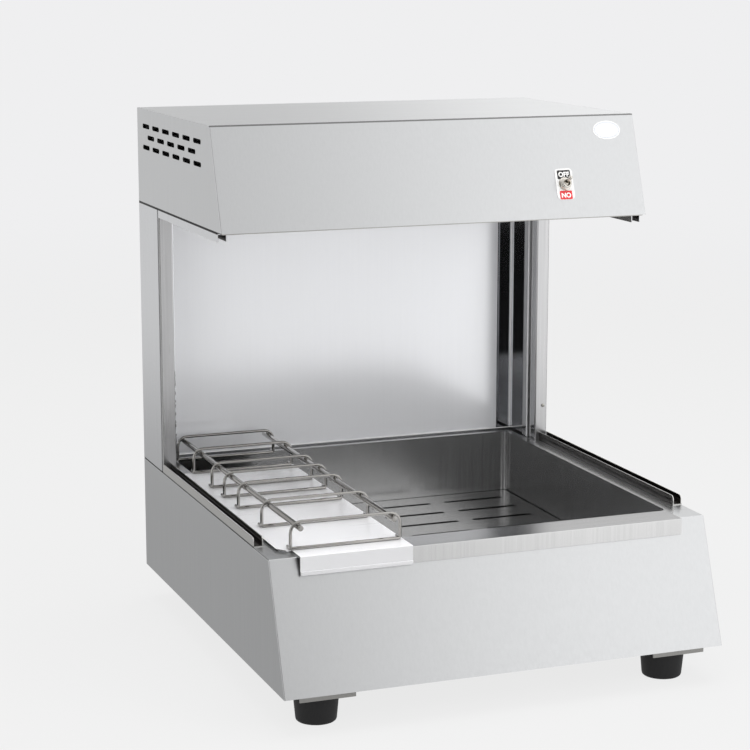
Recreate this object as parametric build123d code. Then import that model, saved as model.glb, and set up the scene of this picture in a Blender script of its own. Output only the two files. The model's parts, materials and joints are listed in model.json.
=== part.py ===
from build123d import *
import math
import os

# Counter-top chip warmer in folded stainless sheet: a base with a leaning front holds a
# lift-out chip pan, two rear posts carry a heated hood over it, and a wire rack on a shelf
# holds paper cups beside the chips.
# Millimetres. +Z is up, the front faces -Y, and the origin lies on the counter under the
# middle of the body.

# body
body_width = 560
body_depth = 600
body_height = 670
sheet = 1.0  # wall of the folded sheet
fold_radius = 1.2  # outer radius of a fold
fixing_flange = 12  # hidden flange that takes a screw
seam = 0.4  # gap between two fixed pieces at an open joint
seat = 0.3  # gap under a piece that lifts out

# base
foot_height = 45  # counter to the underside of the base
base_height = 150
base_lean = 54  # how far the front's top edge is set back from its bottom edge
return_flange = 15  # flange turned in under the base and the hood

# feet
foot_top_radius = 28
foot_bottom_radius = 24
foot_edge = 2.5  # chamfer at the floor
foot_inset_x = 55  # centre of a front foot from the side
rear_foot_inset_x = 110  # the rear pair stands further in
foot_inset_y = 50  # centre from the front or rear
foot_plate = 2.0
foot_plate_width = 68
foot_plate_edge = 8  # plate's outer edge from the front or rear
foot_lip = 6
foot_recess_radius = 10
foot_recess_depth = 30

# fasteners
foot_screw_radius = 4.0
foot_screw_head = 4.0
foot_nut_flats = 13
foot_nut_height = 6.5
screw_radius = 1.6
screw_head_radius = 3.5
screw_head_height = 1.5
screw_length = 5
screw_clearance = 0.3
post_screw_head = 2.4  # head radius

# posts and rear walls
column_depth = 98  # side panel, front to rear
post_width = 19
post_depth = 22
post_fold = 2.0  # outer radius of the fold between a post's strip and its inner face
post_step = 2.2  # the rear flange of a post lies this much further in
post_rear_flange = 16  # laps over the side of the back wall
post_seam = 1.0  # dark vertical gap between a post and the side panel
post_seam_depth = 12
side_panel_setback = 5  # side panel's front edge behind the post's face
post_screw_height = 50  # above the deck
post_screw_inset = 5  # centre from the outer edge of the post's front strip
back_wall_gap = 12.5  # air between the back wall and the rear cover
back_wall_play = 2  # front edge of the wall's sides behind the step of a post
back_wall_lift = 4  # lower edge above the deck
column_seam = 0.8

# glass channels
channel_width = 12
lower_channel_height = 12
upper_channel_height = 10
channel_corner = 5
lower_channel_setback = 56  # from the deck's front edge
upper_channel_setback = 16  # from the hood's lower front edge

# hood
hood_height = 124
hood_depth = 378
hood_lean = 43
hood_reveal = 1.5  # thickness of the hood floor, seen as a shadow line
hood_floor_inset = 3
lid_ledge = 10
lid_front_gap = 2.5
vent_length = 33
vent_height = 6
vent_pitch = 47.4
vent_row_pitch = 13.8
vent_columns = 6
vent_rows = 3
vent_top = 22  # first row below the hood top
vent_rear = 46  # first slot's centre from the rear face
rear_vent_columns = 5
rear_vent_rows = 2

# lamp
lamp_length = 400
lamp_depth = 190
lamp_setback = 148  # lamp centre behind the hood's lower front edge
reflector_height = 60
reflector_top_depth = 100
reflector_sheet = 0.8
reflector_flange = 10
tube_radius = 7
tube_wall = 1.2
coil_radius = 2.6
tube_spacing = 80
tube_lift = 28  # tube axis above the hood floor
tube_overhang = 6
cap_radius = 9
cap_length = 24
cap_grip = 4  # length of tube inside a cap
cap_stud_radius = 2
cap_stud_length = 9
bracket_sheet = 1.5
bracket_height = 44
bracket_foot = 14
fit_gap = 0.2  # round pieces held in a hole
guard_frame_radius = 2.0
guard_wire_radius = 1.5
guard_bend = 12
guard_margin = 8
guard_wires = 7
clip_width = 12
clip_reach = 9

# switch
switch_inset = 107.5  # centre from the right side
switch_height = 41  # centre above the hood's lower edge
label_width = 28
label_height = 40
label_thickness = 0.6
label_corner = 2
bushing_radius = 6
bushing_length = 9
bushing_bore = 3.9
switch_body_width = 16
switch_body_height = 30
switch_body_depth = 24
washer_radius = 8.5
washer_thickness = 1.0
nut_flats = 14
nut_thickness = 2.2
lever_pivot = 4  # above the panel's outer face
lever_seat = 0.3  # ball to the bore
lever_root_radius = 1.7
lever_tip_radius = 2.7
lever_length = 18
lever_tilt = 15  # degrees above the panel's normal, the OFF place

# mains inlet and terminals
inlet_inset = 80  # centre from the left side
inlet_height = 31  # centre above the underside of the base
inlet_width = 62
inlet_opening = 30
inlet_recess_depth = 30
inlet_corner = 4
inlet_lip = 7
cable_radius = 4.0
gland_thread_radius = 8
gland_hex_flats = 20
gland_hex_height = 6
gland_dome_length = 14
gland_dome_radius = 9.5
gland_tip_radius = 6.5
gland_inner_length = 12
gland_nut_height = 5
terminal_length = 44
terminal_depth = 20
terminal_height = 16
terminal_inset = 40
terminal_ways = 3

# chip pan
pan_flange_side = 11
pan_flange_rear = 14.5
pan_post_gap = 1.8  # pan flange to the rear flanges of the posts
pan_wall_gap = 2.5  # pan flange to the back wall
deck_front_strip = 33  # deck between its front edge and the pan
pan_depth = 99
pan_corner = 8
pan_bend = 2  # inner bend radius round the pan's floor
pan_hole_gap = 1.5
pan_chamfer_x = 8.5
pan_chamfer_y = 12
apron_width = 490
apron_height = 20
apron_gap = 0.8  # apron to the leaning front

# drain plate
drain_height = 12
drain_gap = 1.5
drain_slot_length = 88
drain_slot_width = 8
drain_land = 20  # least metal between two slots end to end
drain_rows = 9
drain_margin_x = 66  # from the plate's side to the middle of the first slot
drain_margin_y = 38

# cup rack
shelf_overhang = 3  # past the left edge of the pan's flange
shelf_width = 153
shelf_tail = 5.8  # shelf behind the last hoop that stands on it
shelf_rear_lip = 10
shelf_apron_hem = 4.5
hoop_radius = 2.0
hoop_rise = 31  # bottom wire to top wire
hoop_bend = 13
hoop_left_inset = 13.5  # wire centre from the shelf's left edge
hoop_right_inset = 4.5
hoop_shares = [107, 93, 59, 54, 84, 77]  # how the hoops divide the rack's length, front to rear
hoop_front_inset = 30  # front hoop behind the shelf's front edge
hoop_rear_inset = 18.8  # rearmost hoop in front of the pan's rear wall
hoop_toe = 12
rod_radius = 3.5
rod_inset = 10
rod_overhang = 8

# places that follow from the sizes above
half_width = body_width / 2
front_y = -body_depth / 2
rear_y = body_depth / 2
cover_y = rear_y - screw_head_height  # outer face of the rear covers
skin_y = cover_y - sheet  # rear edge of the side skins
deck_z = foot_height + base_height
deck_front = front_y + base_lean
hood_z = body_height - hood_height
under_z = hood_z - hood_reveal  # underside of the hood floor
hood_front = rear_y - hood_depth
post_front = rear_y - column_depth
post_inner = half_width - post_width
back_wall_y = skin_y - back_wall_gap - sheet
post_step_x = post_inner - post_step  # inner face of a post's rear flange
wall_side = post_step_x + sheet  # inner face of the back wall's side, behind that flange
lamp_y = hood_front + lamp_setback
lamp_half = lamp_length / 2
tube_z = hood_z + tube_lift
screw_x = half_width - fixing_flange / 2

rim_z = deck_z + seat + sheet  # top of the pan's flange
pan_flange_half = post_step_x - pan_post_gap
pan_half = pan_flange_half - pan_flange_side
pan_flange_end = back_wall_y - pan_wall_gap
pan_rear = pan_flange_end - pan_flange_rear
pan_front = deck_front + deck_front_strip
pan_floor_z = rim_z - pan_depth
apron_half = apron_width / 2
apron_inner = deck_front - base_lean * (deck_z - rim_z + apron_height) / base_height - apron_gap
apron_outer = apron_inner - sheet

shelf_z = rim_z + seat  # underside of the shelf
shelf_left = -pan_flange_half - shelf_overhang
shelf_right = shelf_left + shelf_width
shelf_front = apron_outer - seat - sheet
hoop_left = shelf_left + hoop_left_inset
hoop_right = shelf_right - hoop_right_inset
hoop_z = shelf_z + sheet + hoop_radius
hoop_front = shelf_front + hoop_front_inset
hoop_run = pan_rear - hoop_rear_inset - hoop_front
hoop_y = [hoop_front + hoop_run * sum(hoop_shares[:step]) / sum(hoop_shares) for step in range(7)]
shelf_rear_y = hoop_y[-2] + shelf_tail
rod_reach = hoop_bend - hoop_radius - rod_radius  # from a bend's centre to the rod nested in it
rod_drop = hoop_bend - math.sqrt(rod_reach**2 - (hoop_bend - rod_inset) ** 2)
rod_z = hoop_z + hoop_rise - rod_drop
drain_left = shelf_right + drain_gap
drain_z = pan_floor_z + seat + drain_height

lean_angle = math.degrees(math.atan2(hood_lean, hood_height))
switch_x = half_width - switch_inset
switch_z = hood_z + switch_height
inlet_x = inlet_inset - half_width
inlet_z = foot_height + inlet_height
lever_ball_radius = bushing_bore - lever_seat


# --- helpers ---


def block(x, y, z):
    # a box between two values on each axis
    size = [high - low for low, high in (x, y, z)]
    middle = [(high + low) / 2 for low, high in (x, y, z)]
    return Pos(*middle) * Box(*size)


def prism(points, x):
    # a side outline of (y, z) points carried from x[0] to x[1]
    outline = Plane.YZ * make_face(Polyline(*points, close=True))
    return Pos(x[0], 0, 0) * extrude(outline, amount=x[1] - x[0])


def folded(points, thickness, side):
    # the section of a folded sheet: its path is one face, the other lies on the given side
    path = Polyline(*points)
    return make_face(offset(path, amount=thickness, side=side, kind=Kind.INTERSECTION))


def upright(section, z):
    return Pos(0, 0, z[0]) * extrude(section, amount=z[1] - z[0])


def across(section, x):
    return Pos(x[0], 0, 0) * extrude(Plane.YZ * section, amount=x[1] - x[0])


def rounded_plate(x, y, z, radius):
    size = RectangleRounded(x[1] - x[0], y[1] - y[0], radius)
    middle = Pos((x[0] + x[1]) / 2, (y[0] + y[1]) / 2, z[0])
    return middle * extrude(size, amount=z[1] - z[0])


def rod(start, end, radius):
    # a round bar between two points on a line along one axis
    axis = Vector(*end) - Vector(*start)
    return extrude(Plane(origin=start, z_dir=axis) * Circle(radius), amount=axis.length)


def other_side(piece):
    return mirror(piece, about=Plane.YZ)


def base_front(z):
    # outer face of the base's leaning front at a height
    return front_y + base_lean * (z - foot_height) / base_height


def hood_face(z):
    # outer face of the hood's leaning front at a height
    return hood_front + hood_lean * (z - hood_z) / hood_height


def inward(lean, height):
    # a sheet's thickness measured level through a leaning wall
    return sheet * math.hypot(lean, height) / height


def slots(centres, plane, length, width):
    outlines = [plane * Pos(*centre) * SlotOverall(length, width) for centre in centres]
    return [extrude(outline, amount=4 * sheet, both=True) for outline in outlines]


# --- base ---


def foot_places():
    x = half_width - foot_inset_x
    rear_x = half_width - rear_foot_inset_x
    y = rear_y - foot_inset_y
    return [(-x, -y), (x, -y), (-rear_x, y), (rear_x, y)]


def base_back_screw_places():
    heights = (deck_z - fixing_flange / 2 - sheet, foot_height + 2 * fixing_flange)
    return [(side * screw_x, z) for side in (-1, 1) for z in heights]


def rear_cover_screw_places():
    low = deck_z + 2 * fixing_flange
    high = body_height - 2 * fixing_flange
    heights = (low, (low + high) / 2, high)
    return [(side * screw_x, z) for side in (-1, 1) for z in heights]


def rear_holes(places):
    radius = screw_radius + screw_clearance
    return [rod((x, skin_y - 2 * sheet, z), (x, rear_y, z), radius) for x, z in places]


def base_shell():
    # leaning front, two sides and the deck round the pan, welded and open below and behind
    top_slope = inward(base_lean, base_height)
    outer = prism(
        [(front_y, foot_height), (skin_y, foot_height), (skin_y, deck_z), (deck_front, deck_z)],
        (-half_width, half_width),
    )
    top = outer.edges().filter_by(lambda edge: edge.center().Z > foot_height + sheet)
    folds = top.filter_by(lambda edge: edge.center().Y < skin_y - sheet)
    outer = fillet(folds, fold_radius)
    low = foot_height + sheet
    high = deck_z - sheet
    hollow = prism(
        [
            (base_front(low) + top_slope, low),
            (rear_y, low),
            (rear_y, high),
            (base_front(high) + top_slope, high),
        ],
        (sheet - half_width, half_width - sheet),
    )
    mouth = block(
        (return_flange - half_width, half_width - return_flange),
        (front_y + return_flange, rear_y),
        (foot_height - sheet, foot_height + 2 * sheet),
    )
    hole_half = pan_half + sheet + pan_hole_gap
    pan_hole = rounded_plate(
        (-hole_half, hole_half),
        (pan_front - sheet - pan_hole_gap, pan_rear + sheet + pan_hole_gap),
        (deck_z - 2 * sheet, deck_z + sheet),
        pan_corner + sheet,
    )
    side_flange = block(
        (half_width - fixing_flange, half_width - sheet / 2), (skin_y - sheet, skin_y), (low, high)
    )
    deck_flange = block(
        (-half_width + sheet, half_width - sheet),
        (skin_y - sheet, skin_y),
        (high - fixing_flange, deck_z - sheet / 2),
    )
    shell = outer - hollow - mouth - pan_hole
    shell = shell + side_flange + other_side(side_flange) + deck_flange
    return shell - rear_holes(base_back_screw_places())


def base_floor():
    low = foot_height + sheet
    plate = block(
        (sheet + seam - half_width, half_width - sheet - seam),
        (base_front(low) + 3 * sheet, skin_y - sheet - seam),
        (low, low + sheet),
    )
    lip = block(
        (return_flange - half_width, half_width - return_flange),
        (skin_y - 2 * sheet - seam, skin_y - sheet - seam),
        (low, low + fixing_flange),
    )
    radius = foot_screw_radius + screw_clearance
    holes = [rod((x, y, foot_height), (x, y, low + 2 * sheet), radius) for x, y in foot_places()]
    return plate + lip - holes


def inlet_mouth(growth, y):
    # the inlet's rounded outline, grown by a wall, between two places in depth
    outline = RectangleRounded(inlet_width + 2 * growth, inlet_opening + 2 * growth, inlet_corner)
    face = Plane(origin=(inlet_x, y[0], inlet_z), z_dir=(0, 1, 0), x_dir=(1, 0, 0)) * outline
    return extrude(face, amount=y[1] - y[0])


def base_back_panel():
    panel = block(
        (seam - half_width, half_width - seam),
        (skin_y, cover_y),
        (foot_height + seam, deck_z - seam),
    )
    return panel - inlet_mouth(0, (skin_y - sheet, rear_y)) - rear_holes(base_back_screw_places())


def inlet_recess():
    # folded cup behind the rear panel, so that the cable gland stays inside the body's depth
    floor_y = skin_y - inlet_recess_depth
    cup = inlet_mouth(sheet, (floor_y - sheet, skin_y)) - inlet_mouth(0, (floor_y, rear_y))
    lip = inlet_mouth(sheet + inlet_lip, (skin_y - sheet, skin_y))
    lip = lip - inlet_mouth(0, (skin_y - 2 * sheet, rear_y))
    start = (inlet_x, floor_y - 2 * sheet, inlet_z)
    hole = rod(start, (inlet_x, floor_y + sheet, inlet_z), gland_thread_radius + fit_gap)
    return cup + lip - hole


def gland_prism(flats, y):
    hexagon = RegularPolygon(flats / 2, 6, major_radius=False)
    face = Plane(origin=(inlet_x, y[0], inlet_z), z_dir=(0, 1, 0)) * hexagon
    return extrude(face, amount=y[1] - y[0])


def gland_bore(y):
    return rod((inlet_x, y[0], inlet_z), (inlet_x, y[1], inlet_z), cable_radius)


def cable_gland():
    floor_y = skin_y - inlet_recess_depth
    inner = floor_y - sheet - gland_inner_length
    hex_end = floor_y + gland_hex_height
    tip = hex_end + gland_dome_length
    thread = rod((inlet_x, inner, inlet_z), (inlet_x, floor_y, inlet_z), gland_thread_radius)
    dome = loft(
        [
            Plane(origin=(inlet_x, hex_end, inlet_z), z_dir=(0, 1, 0)) * Circle(gland_dome_radius),
            Plane(origin=(inlet_x, tip, inlet_z), z_dir=(0, 1, 0)) * Circle(gland_tip_radius),
        ]
    )
    body = thread + gland_prism(gland_hex_flats, (floor_y, hex_end)) + dome
    return body - gland_bore((inner - sheet, tip + sheet))


def gland_nut():
    wall = skin_y - inlet_recess_depth - sheet
    nut = gland_prism(gland_hex_flats, (wall - gland_nut_height, wall))
    radius = gland_thread_radius + fit_gap
    start = (inlet_x, wall - 2 * gland_nut_height, inlet_z)
    return nut - rod(start, (inlet_x, wall, inlet_z), radius)


# --- feet ---


def foot_bracket(x, y):
    # flat plate under the base with a lip turned down along its outer edge
    outward = 1 if y > 0 else -1
    edge = outward * (rear_y - foot_plate_edge)
    inner = y - outward * foot_plate_width / 2
    low, high = sorted((edge, inner))
    width = (x - foot_plate_width / 2, x + foot_plate_width / 2)
    plate = block(width, (low, high), (foot_height - foot_plate, foot_height))
    lip_y = sorted((edge, edge - outward * foot_plate))
    lip = block(width, lip_y, (foot_height - foot_plate - foot_lip, foot_height))
    radius = foot_screw_radius + screw_clearance
    return plate + lip - rod((x, y, 0), (x, y, foot_height + sheet), radius)


def rubber_foot(x, y):
    height = foot_height - foot_plate
    cone = Pos(x, y, height / 2) * Cone(foot_bottom_radius, foot_top_radius, height)
    floor_edge = cone.edges().sort_by(Axis.Z)[0]
    cone = chamfer(floor_edge, foot_edge)
    recess = rod((x, y, -sheet), (x, y, foot_recess_depth), foot_recess_radius)
    hole = rod((x, y, 0), (x, y, foot_height), foot_screw_radius + screw_clearance)
    return cone - recess - hole


def foot_screw(x, y):
    low = foot_recess_depth - foot_screw_head
    top = foot_height + 2 * sheet + foot_nut_height + sheet
    head = rod((x, y, low), (x, y, foot_recess_depth), 2 * foot_screw_radius)
    return head + rod((x, y, foot_recess_depth), (x, y, top), foot_screw_radius)


def foot_nut(x, y):
    low = foot_height + 2 * sheet
    hexagon = RegularPolygon(foot_nut_flats / 2, 6, major_radius=False)
    nut = Pos(x, y, low) * extrude(hexagon, amount=foot_nut_height)
    hole = rod((x, y, foot_height), (x, y, low + 2 * foot_nut_height), foot_screw_radius + fit_gap)
    return nut - hole


# --- posts and rear walls ---


def side_panel():
    # outer skin of the right column, with its rear flange
    path = [
        (half_width, post_front + side_panel_setback),
        (half_width, skin_y),
        (half_width - fixing_flange, skin_y),
    ]
    panel = upright(folded(path, sheet, Side.LEFT), (deck_z + column_seam, under_z))
    return panel - rear_holes(rear_cover_screw_places())


def front_post():
    # right post: lip on the side panel, seam, front strip, inner face, rear flange
    skin = half_width - sheet
    strip_outer = skin - post_seam
    seam_floor = post_front + post_seam_depth
    face_rear = post_front + post_depth
    path = [
        (skin, seam_floor + fixing_flange),
        (skin, seam_floor),
        (strip_outer, seam_floor),
        (strip_outer, post_front),
        (post_inner, post_front),
        (post_inner, face_rear),
        (post_step_x, face_rear),
        (post_step_x, face_rear + post_rear_flange),
    ]
    section = folded(path, sheet, Side.RIGHT)
    for inset, radius in ((0, post_fold), (sheet, post_fold - sheet)):
        corner = Vector(post_inner + inset, post_front + inset, 0)
        fold = section.vertices().filter_by(lambda vertex: (Vector(vertex) - corner).length < 0.01)
        section = fillet(fold, radius)
    return upright(section, (deck_z, under_z))


def screwed_post():
    # only the right post has a screw
    x, z = post_screw_place()
    start = (x, post_front - sheet, z)
    return front_post() - rod(start, (x, post_front + 2 * sheet, z), screw_radius + screw_clearance)


def post_screw_place():
    strip_outer = half_width - sheet - post_seam
    return strip_outer - post_screw_inset, deck_z + post_screw_height


def post_screw():
    x, z = post_screw_place()
    head = rod((x, post_front - screw_head_height, z), (x, post_front, z), post_screw_head)
    return head + rod((x, post_front, z), (x, post_front + screw_length, z), screw_radius)


def back_wall():
    # bright inner wall behind the chips; its sides lie behind the rear flanges of the posts
    front = post_front + post_depth + back_wall_play
    right = [(wall_side, back_wall_y), (wall_side, front)]
    path = [(-x, y) for x, y in reversed(right)] + right
    low = deck_z + back_wall_lift
    wall = upright(folded(path, sheet, Side.LEFT), (low, under_z))
    foot_x = (-wall_side, wall_side)
    foot = block(foot_x, (back_wall_y + sheet / 2, skin_y), (low, low + sheet))
    return wall + foot


def rear_cover():
    cover = block(
        (seam - half_width, half_width - seam),
        (skin_y, cover_y),
        (deck_z + seam, body_height - sheet - seam),
    )
    middle = (rear_vent_columns - 1) / 2
    top = body_height - vent_top - vent_row_pitch
    vents = [
        ((column - middle) * vent_pitch, top - row * vent_row_pitch)
        for column in range(rear_vent_columns)
        for row in range(rear_vent_rows)
    ]
    plane = Plane(origin=(0, cover_y, 0), z_dir=(0, -1, 0), x_dir=(1, 0, 0))
    return cover - slots(vents, plane, vent_length, vent_height) - rear_holes(rear_cover_screw_places())


def rear_screws(places):
    pieces = []
    for x, z in places:
        head = rod((x, cover_y, z), (x, rear_y, z), screw_head_radius)
        pieces.append(head + rod((x, cover_y - screw_length, z), (x, cover_y, z), screw_radius))
    return pieces


# --- glass channels ---


def lower_channel():
    # right channel on the deck, open upwards, its front corners rounded
    x = (half_width - channel_width, half_width)
    y = (deck_front + lower_channel_setback, post_front)
    bar = block(x, y, (deck_z, deck_z + lower_channel_height))
    corner = bar.edges().filter_by(Axis.X).sort_by(Axis.Y)[:2].sort_by(Axis.Z)[-1]
    bar = fillet(corner, channel_corner)
    inside = (x[0] + sheet, x[1] - sheet)
    slot_z = (deck_z + sheet, deck_z + 2 * lower_channel_height)
    return bar - block(inside, (y[0] - sheet, y[1] + sheet), slot_z)


def upper_channel():
    # right channel under the hood, open downwards
    x = (half_width - channel_width, half_width)
    y = (hood_front + upper_channel_setback, post_front)
    bar = block(x, y, (under_z - upper_channel_height, under_z))
    corner = bar.edges().filter_by(Axis.X).sort_by(Axis.Y)[:2].sort_by(Axis.Z)[0]
    bar = fillet(corner, 2 * sheet)
    inside = (x[0] + sheet, x[1] - sheet)
    slot_z = (under_z - 2 * upper_channel_height, under_z - sheet)
    return bar - block(inside, (y[0] - sheet, y[1] + sheet), slot_z)


# --- hood ---


def switch_plane(height):
    # on the hood's leaning face at the switch, lifted along its normal
    lean = math.radians(lean_angle)
    normal = (0, -math.cos(lean), math.sin(lean))
    middle = Vector(switch_x, hood_face(switch_z), switch_z)
    return Plane(origin=middle + Vector(*normal) * height, x_dir=(1, 0, 0), z_dir=normal)


def side_vents():
    vents = []
    for row in range(vent_rows):
        shift = row % 2
        for column in range(vent_columns - shift):
            y = rear_y - vent_rear - (column + shift / 2) * vent_pitch
            vents.append((y, body_height - vent_top - row * vent_row_pitch))
    return slots(vents, Plane.YZ.offset(half_width), vent_length, vent_height)


def hood_body():
    # leaning front and two vented sides, with a ledge inside for the lid and flanges below
    slope = inward(hood_lean, hood_height)
    top = body_height
    outer = prism(
        [(hood_front, hood_z), (skin_y, hood_z), (skin_y, top), (hood_face(top), top)],
        (-half_width, half_width),
    )
    upright_edges = outer.edges().filter_by(lambda edge: hood_z + 1 < edge.center().Z < top - 1)
    folds = upright_edges.filter_by(lambda edge: edge.center().Y < skin_y - sheet)
    outer = fillet(folds, fold_radius)
    inner_x = half_width - sheet

    def hollow(low, high, margin):
        return prism(
            [
                (hood_face(low) + slope + margin, low),
                (rear_y, low),
                (rear_y, high),
                (hood_face(high) + slope + margin, high),
            ],
            (margin - inner_x, inner_x - margin),
        )

    cavity = hollow(hood_z + sheet, top - 2 * sheet, 0)
    lid_place = hollow(top - sheet, top + sheet, 0)
    hatch = hollow(top - 3 * sheet, top, lid_ledge)
    mouth = hollow(hood_z - sheet, hood_z + 2 * sheet, return_flange)
    side_flange = block(
        (half_width - fixing_flange, half_width - sheet / 2),
        (skin_y - sheet, skin_y),
        (hood_z, top - sheet),
    )
    vents = side_vents()
    shell = outer - cavity - lid_place - hatch - mouth + side_flange + other_side(side_flange)
    shell = shell - vents - [other_side(vent) for vent in vents]
    hole = switch_plane(0) * Circle(bushing_radius + fit_gap)
    bushing_hole = extrude(hole, amount=3 * sheet, both=True)
    return shell - bushing_hole - rear_holes(rear_cover_screw_places())


def hood_lid():
    low = body_height - sheet
    edge = half_width - sheet - fit_gap
    front = hood_face(body_height) + inward(hood_lean, hood_height) + lid_front_gap
    plate = block((-edge, edge), (front, cover_y), (low, body_height))
    flange = block(
        (fixing_flange + seam - half_width, half_width - fixing_flange - seam),
        (skin_y - sheet, skin_y),
        (low - fixing_flange, low + sheet / 2),
    )
    return plate + flange


def hood_floor():
    # heavier sheet that closes the hood below, with the lamp window and the lamp's fixings
    edge = half_width - hood_floor_inset
    plate = block((-edge, edge), (hood_front + hood_floor_inset, skin_y), (under_z, hood_z))
    window = block(
        (-lamp_half, lamp_half),
        (lamp_y - lamp_depth / 2, lamp_y + lamp_depth / 2),
        (under_z - sheet, hood_z + sheet),
    )
    return plate - window


# --- lamp ---


def tube_places():
    return [lamp_y - tube_spacing / 2, lamp_y + tube_spacing / 2]


def reflector():
    # folded trough over the tubes, closed at both ends, hanging on flanges in the window
    wall = reflector_sheet
    low = hood_z
    high = low + reflector_height
    reach = lamp_depth / 2
    top = reflector_top_depth / 2
    section = [
        (lamp_y - reach - reflector_flange, low),
        (lamp_y - reach, low),
        (lamp_y - top, high),
        (lamp_y + top, high),
        (lamp_y + reach, low),
        (lamp_y + reach + reflector_flange, low),
    ]
    trough = across(folded(section, wall, Side.LEFT), (-lamp_half, lamp_half))
    end = prism(section[1:-1], (lamp_half - wall, lamp_half))
    end_flange = block(
        (lamp_half, lamp_half + reflector_flange), (lamp_y - reach, lamp_y + reach), (low, low + wall)
    )
    for y in tube_places():
        start = (lamp_half - 2 * wall, y, tube_z)
        end = end - rod(start, (lamp_half + wall, y, tube_z), tube_radius + 3 * fit_gap)
    end = end + end_flange
    return trough + end + other_side(end)


def heater_tube(y):
    end = lamp_half + tube_overhang
    ends = ((-end, y, tube_z), (end, y, tube_z))
    return rod(*ends, tube_radius) - rod(*ends, tube_radius - tube_wall)


def heater_coil(y):
    # the outer shape of the wire coil along a tube, between the two caps
    end = lamp_half + tube_overhang
    return rod((-end, y, tube_z), (end, y, tube_z), coil_radius)


def heater_cap(y):
    # ceramic end cap with its terminal stud, on the right end of a tube
    start = lamp_half + tube_overhang - cap_grip
    end = start + cap_length
    cap = rod((start, y, tube_z), (end, y, tube_z), cap_radius)
    stud = rod((end, y, tube_z), (end + cap_stud_length, y, tube_z), cap_stud_radius)
    socket = rod((start - sheet, y, tube_z), (start + cap_grip, y, tube_z), tube_radius + fit_gap / 2)
    return cap + stud - socket


def tube_bracket():
    # upright plate on the hood floor that holds the right caps
    middle = lamp_half + tube_overhang - cap_grip + cap_length / 2
    half = tube_spacing / 2 + 2 * cap_radius
    width = (lamp_y - half, lamp_y + half)
    plate = block((middle, middle + bracket_sheet), width, (hood_z, hood_z + bracket_height))
    foot = block((middle, middle + bracket_foot), width, (hood_z, hood_z + bracket_sheet))
    for y in tube_places():
        start = (middle - sheet, y, tube_z)
        plate = plate - rod(start, (middle + 2 * sheet, y, tube_z), cap_radius + fit_gap)
    return plate + foot


def guard_z():
    return under_z - guard_frame_radius


def heater_guard():
    # welded wire grid across the lamp window
    x = lamp_half + guard_margin
    y_low = lamp_y - lamp_depth / 2 - guard_margin
    y_high = lamp_y + lamp_depth / 2 + guard_margin
    z = guard_z()
    ring = (Pos(0, lamp_y, z) * RectangleRounded(2 * x, y_high - y_low, guard_bend)).wire()
    frame = sweep(Plane(origin=ring @ 0, z_dir=ring % 0) * Circle(guard_frame_radius), path=ring)
    pitch = 2 * x / (guard_wires + 1)
    places = [-x + step * pitch for step in range(1, guard_wires + 1)]
    wires = [rod((place, y_low, z), (place, y_high, z), guard_wire_radius) for place in places]
    return frame.fuse(*wires)


def guard_clip(x, outward):
    # small bent strap screwed to the hood floor, with its tongue under the guard's frame
    frame_y = lamp_y + outward * (lamp_depth / 2 + guard_margin)
    inner = frame_y + outward * (guard_frame_radius + fit_gap)
    outer = inner + outward * sheet
    tongue_end = frame_y - outward * (clip_reach - guard_frame_radius - sheet)
    pad_end = frame_y + outward * (clip_reach + guard_frame_radius)
    low = under_z - 2 * guard_frame_radius - fit_gap
    width = (x - clip_width / 2, x + clip_width / 2)
    leg = block(width, sorted((inner, outer)), (low - sheet, under_z))
    tongue = block(width, sorted((outer, tongue_end)), (low - sheet, low))
    pad = block(width, sorted((inner, pad_end)), (under_z - sheet, under_z))
    return leg + tongue + pad


# --- switch ---


def switch_body():
    # moulded body behind the panel with the threaded bushing through it
    back = -sheet - switch_body_depth
    outline = Rectangle(switch_body_width, switch_body_height)
    box = extrude(switch_plane(back) * outline, amount=switch_body_depth)
    bushing = extrude(switch_plane(-sheet) * Circle(bushing_radius), amount=sheet + bushing_length)
    start = switch_plane(-sheet - lever_ball_radius)
    bore = extrude(start * Circle(bushing_bore), amount=2 * bushing_length + sheet)
    return box + bushing - bore


def switch_nut():
    start = label_thickness
    washer = extrude(switch_plane(start) * Circle(washer_radius), amount=washer_thickness)
    hexagon = RegularPolygon(nut_flats / 2, 6, major_radius=False)
    nut = extrude(switch_plane(start + washer_thickness) * hexagon, amount=nut_thickness)
    hole = extrude(switch_plane(0) * Circle(bushing_radius + fit_gap / 2), amount=2 * bushing_length)
    return washer + nut - hole


def switch_plate():
    outline = RectangleRounded(label_width, label_height, label_corner)
    plate = extrude(switch_plane(0) * outline, amount=label_thickness)
    hole = switch_plane(0) * Circle(bushing_radius + fit_gap)
    return plate - extrude(hole, amount=2 * label_thickness)


def lever_plane():
    # at the lever's pivot, with the lever's own direction as normal
    pivot = switch_plane(lever_pivot)
    return pivot * Rot(-lever_tilt, 0, 0)


def toggle_lever():
    root = Vector(0, 0, 0)
    outline = Polyline(
        (0, 0),
        (lever_root_radius, 0),
        (lever_tip_radius, lever_length - lever_tip_radius),
    )
    tip = ThreePointArc(
        (lever_tip_radius, lever_length - lever_tip_radius),
        (lever_tip_radius * math.sqrt(0.5), lever_length - lever_tip_radius * (1 - math.sqrt(0.5))),
        (0, lever_length),
    )
    section = make_face(Plane.XZ * (outline + tip + Line((0, lever_length), (0, 0))))
    shaft = revolve(section, Axis.Z)
    return lever_plane() * (shaft + Sphere(lever_ball_radius))


# --- terminals ---


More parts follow.
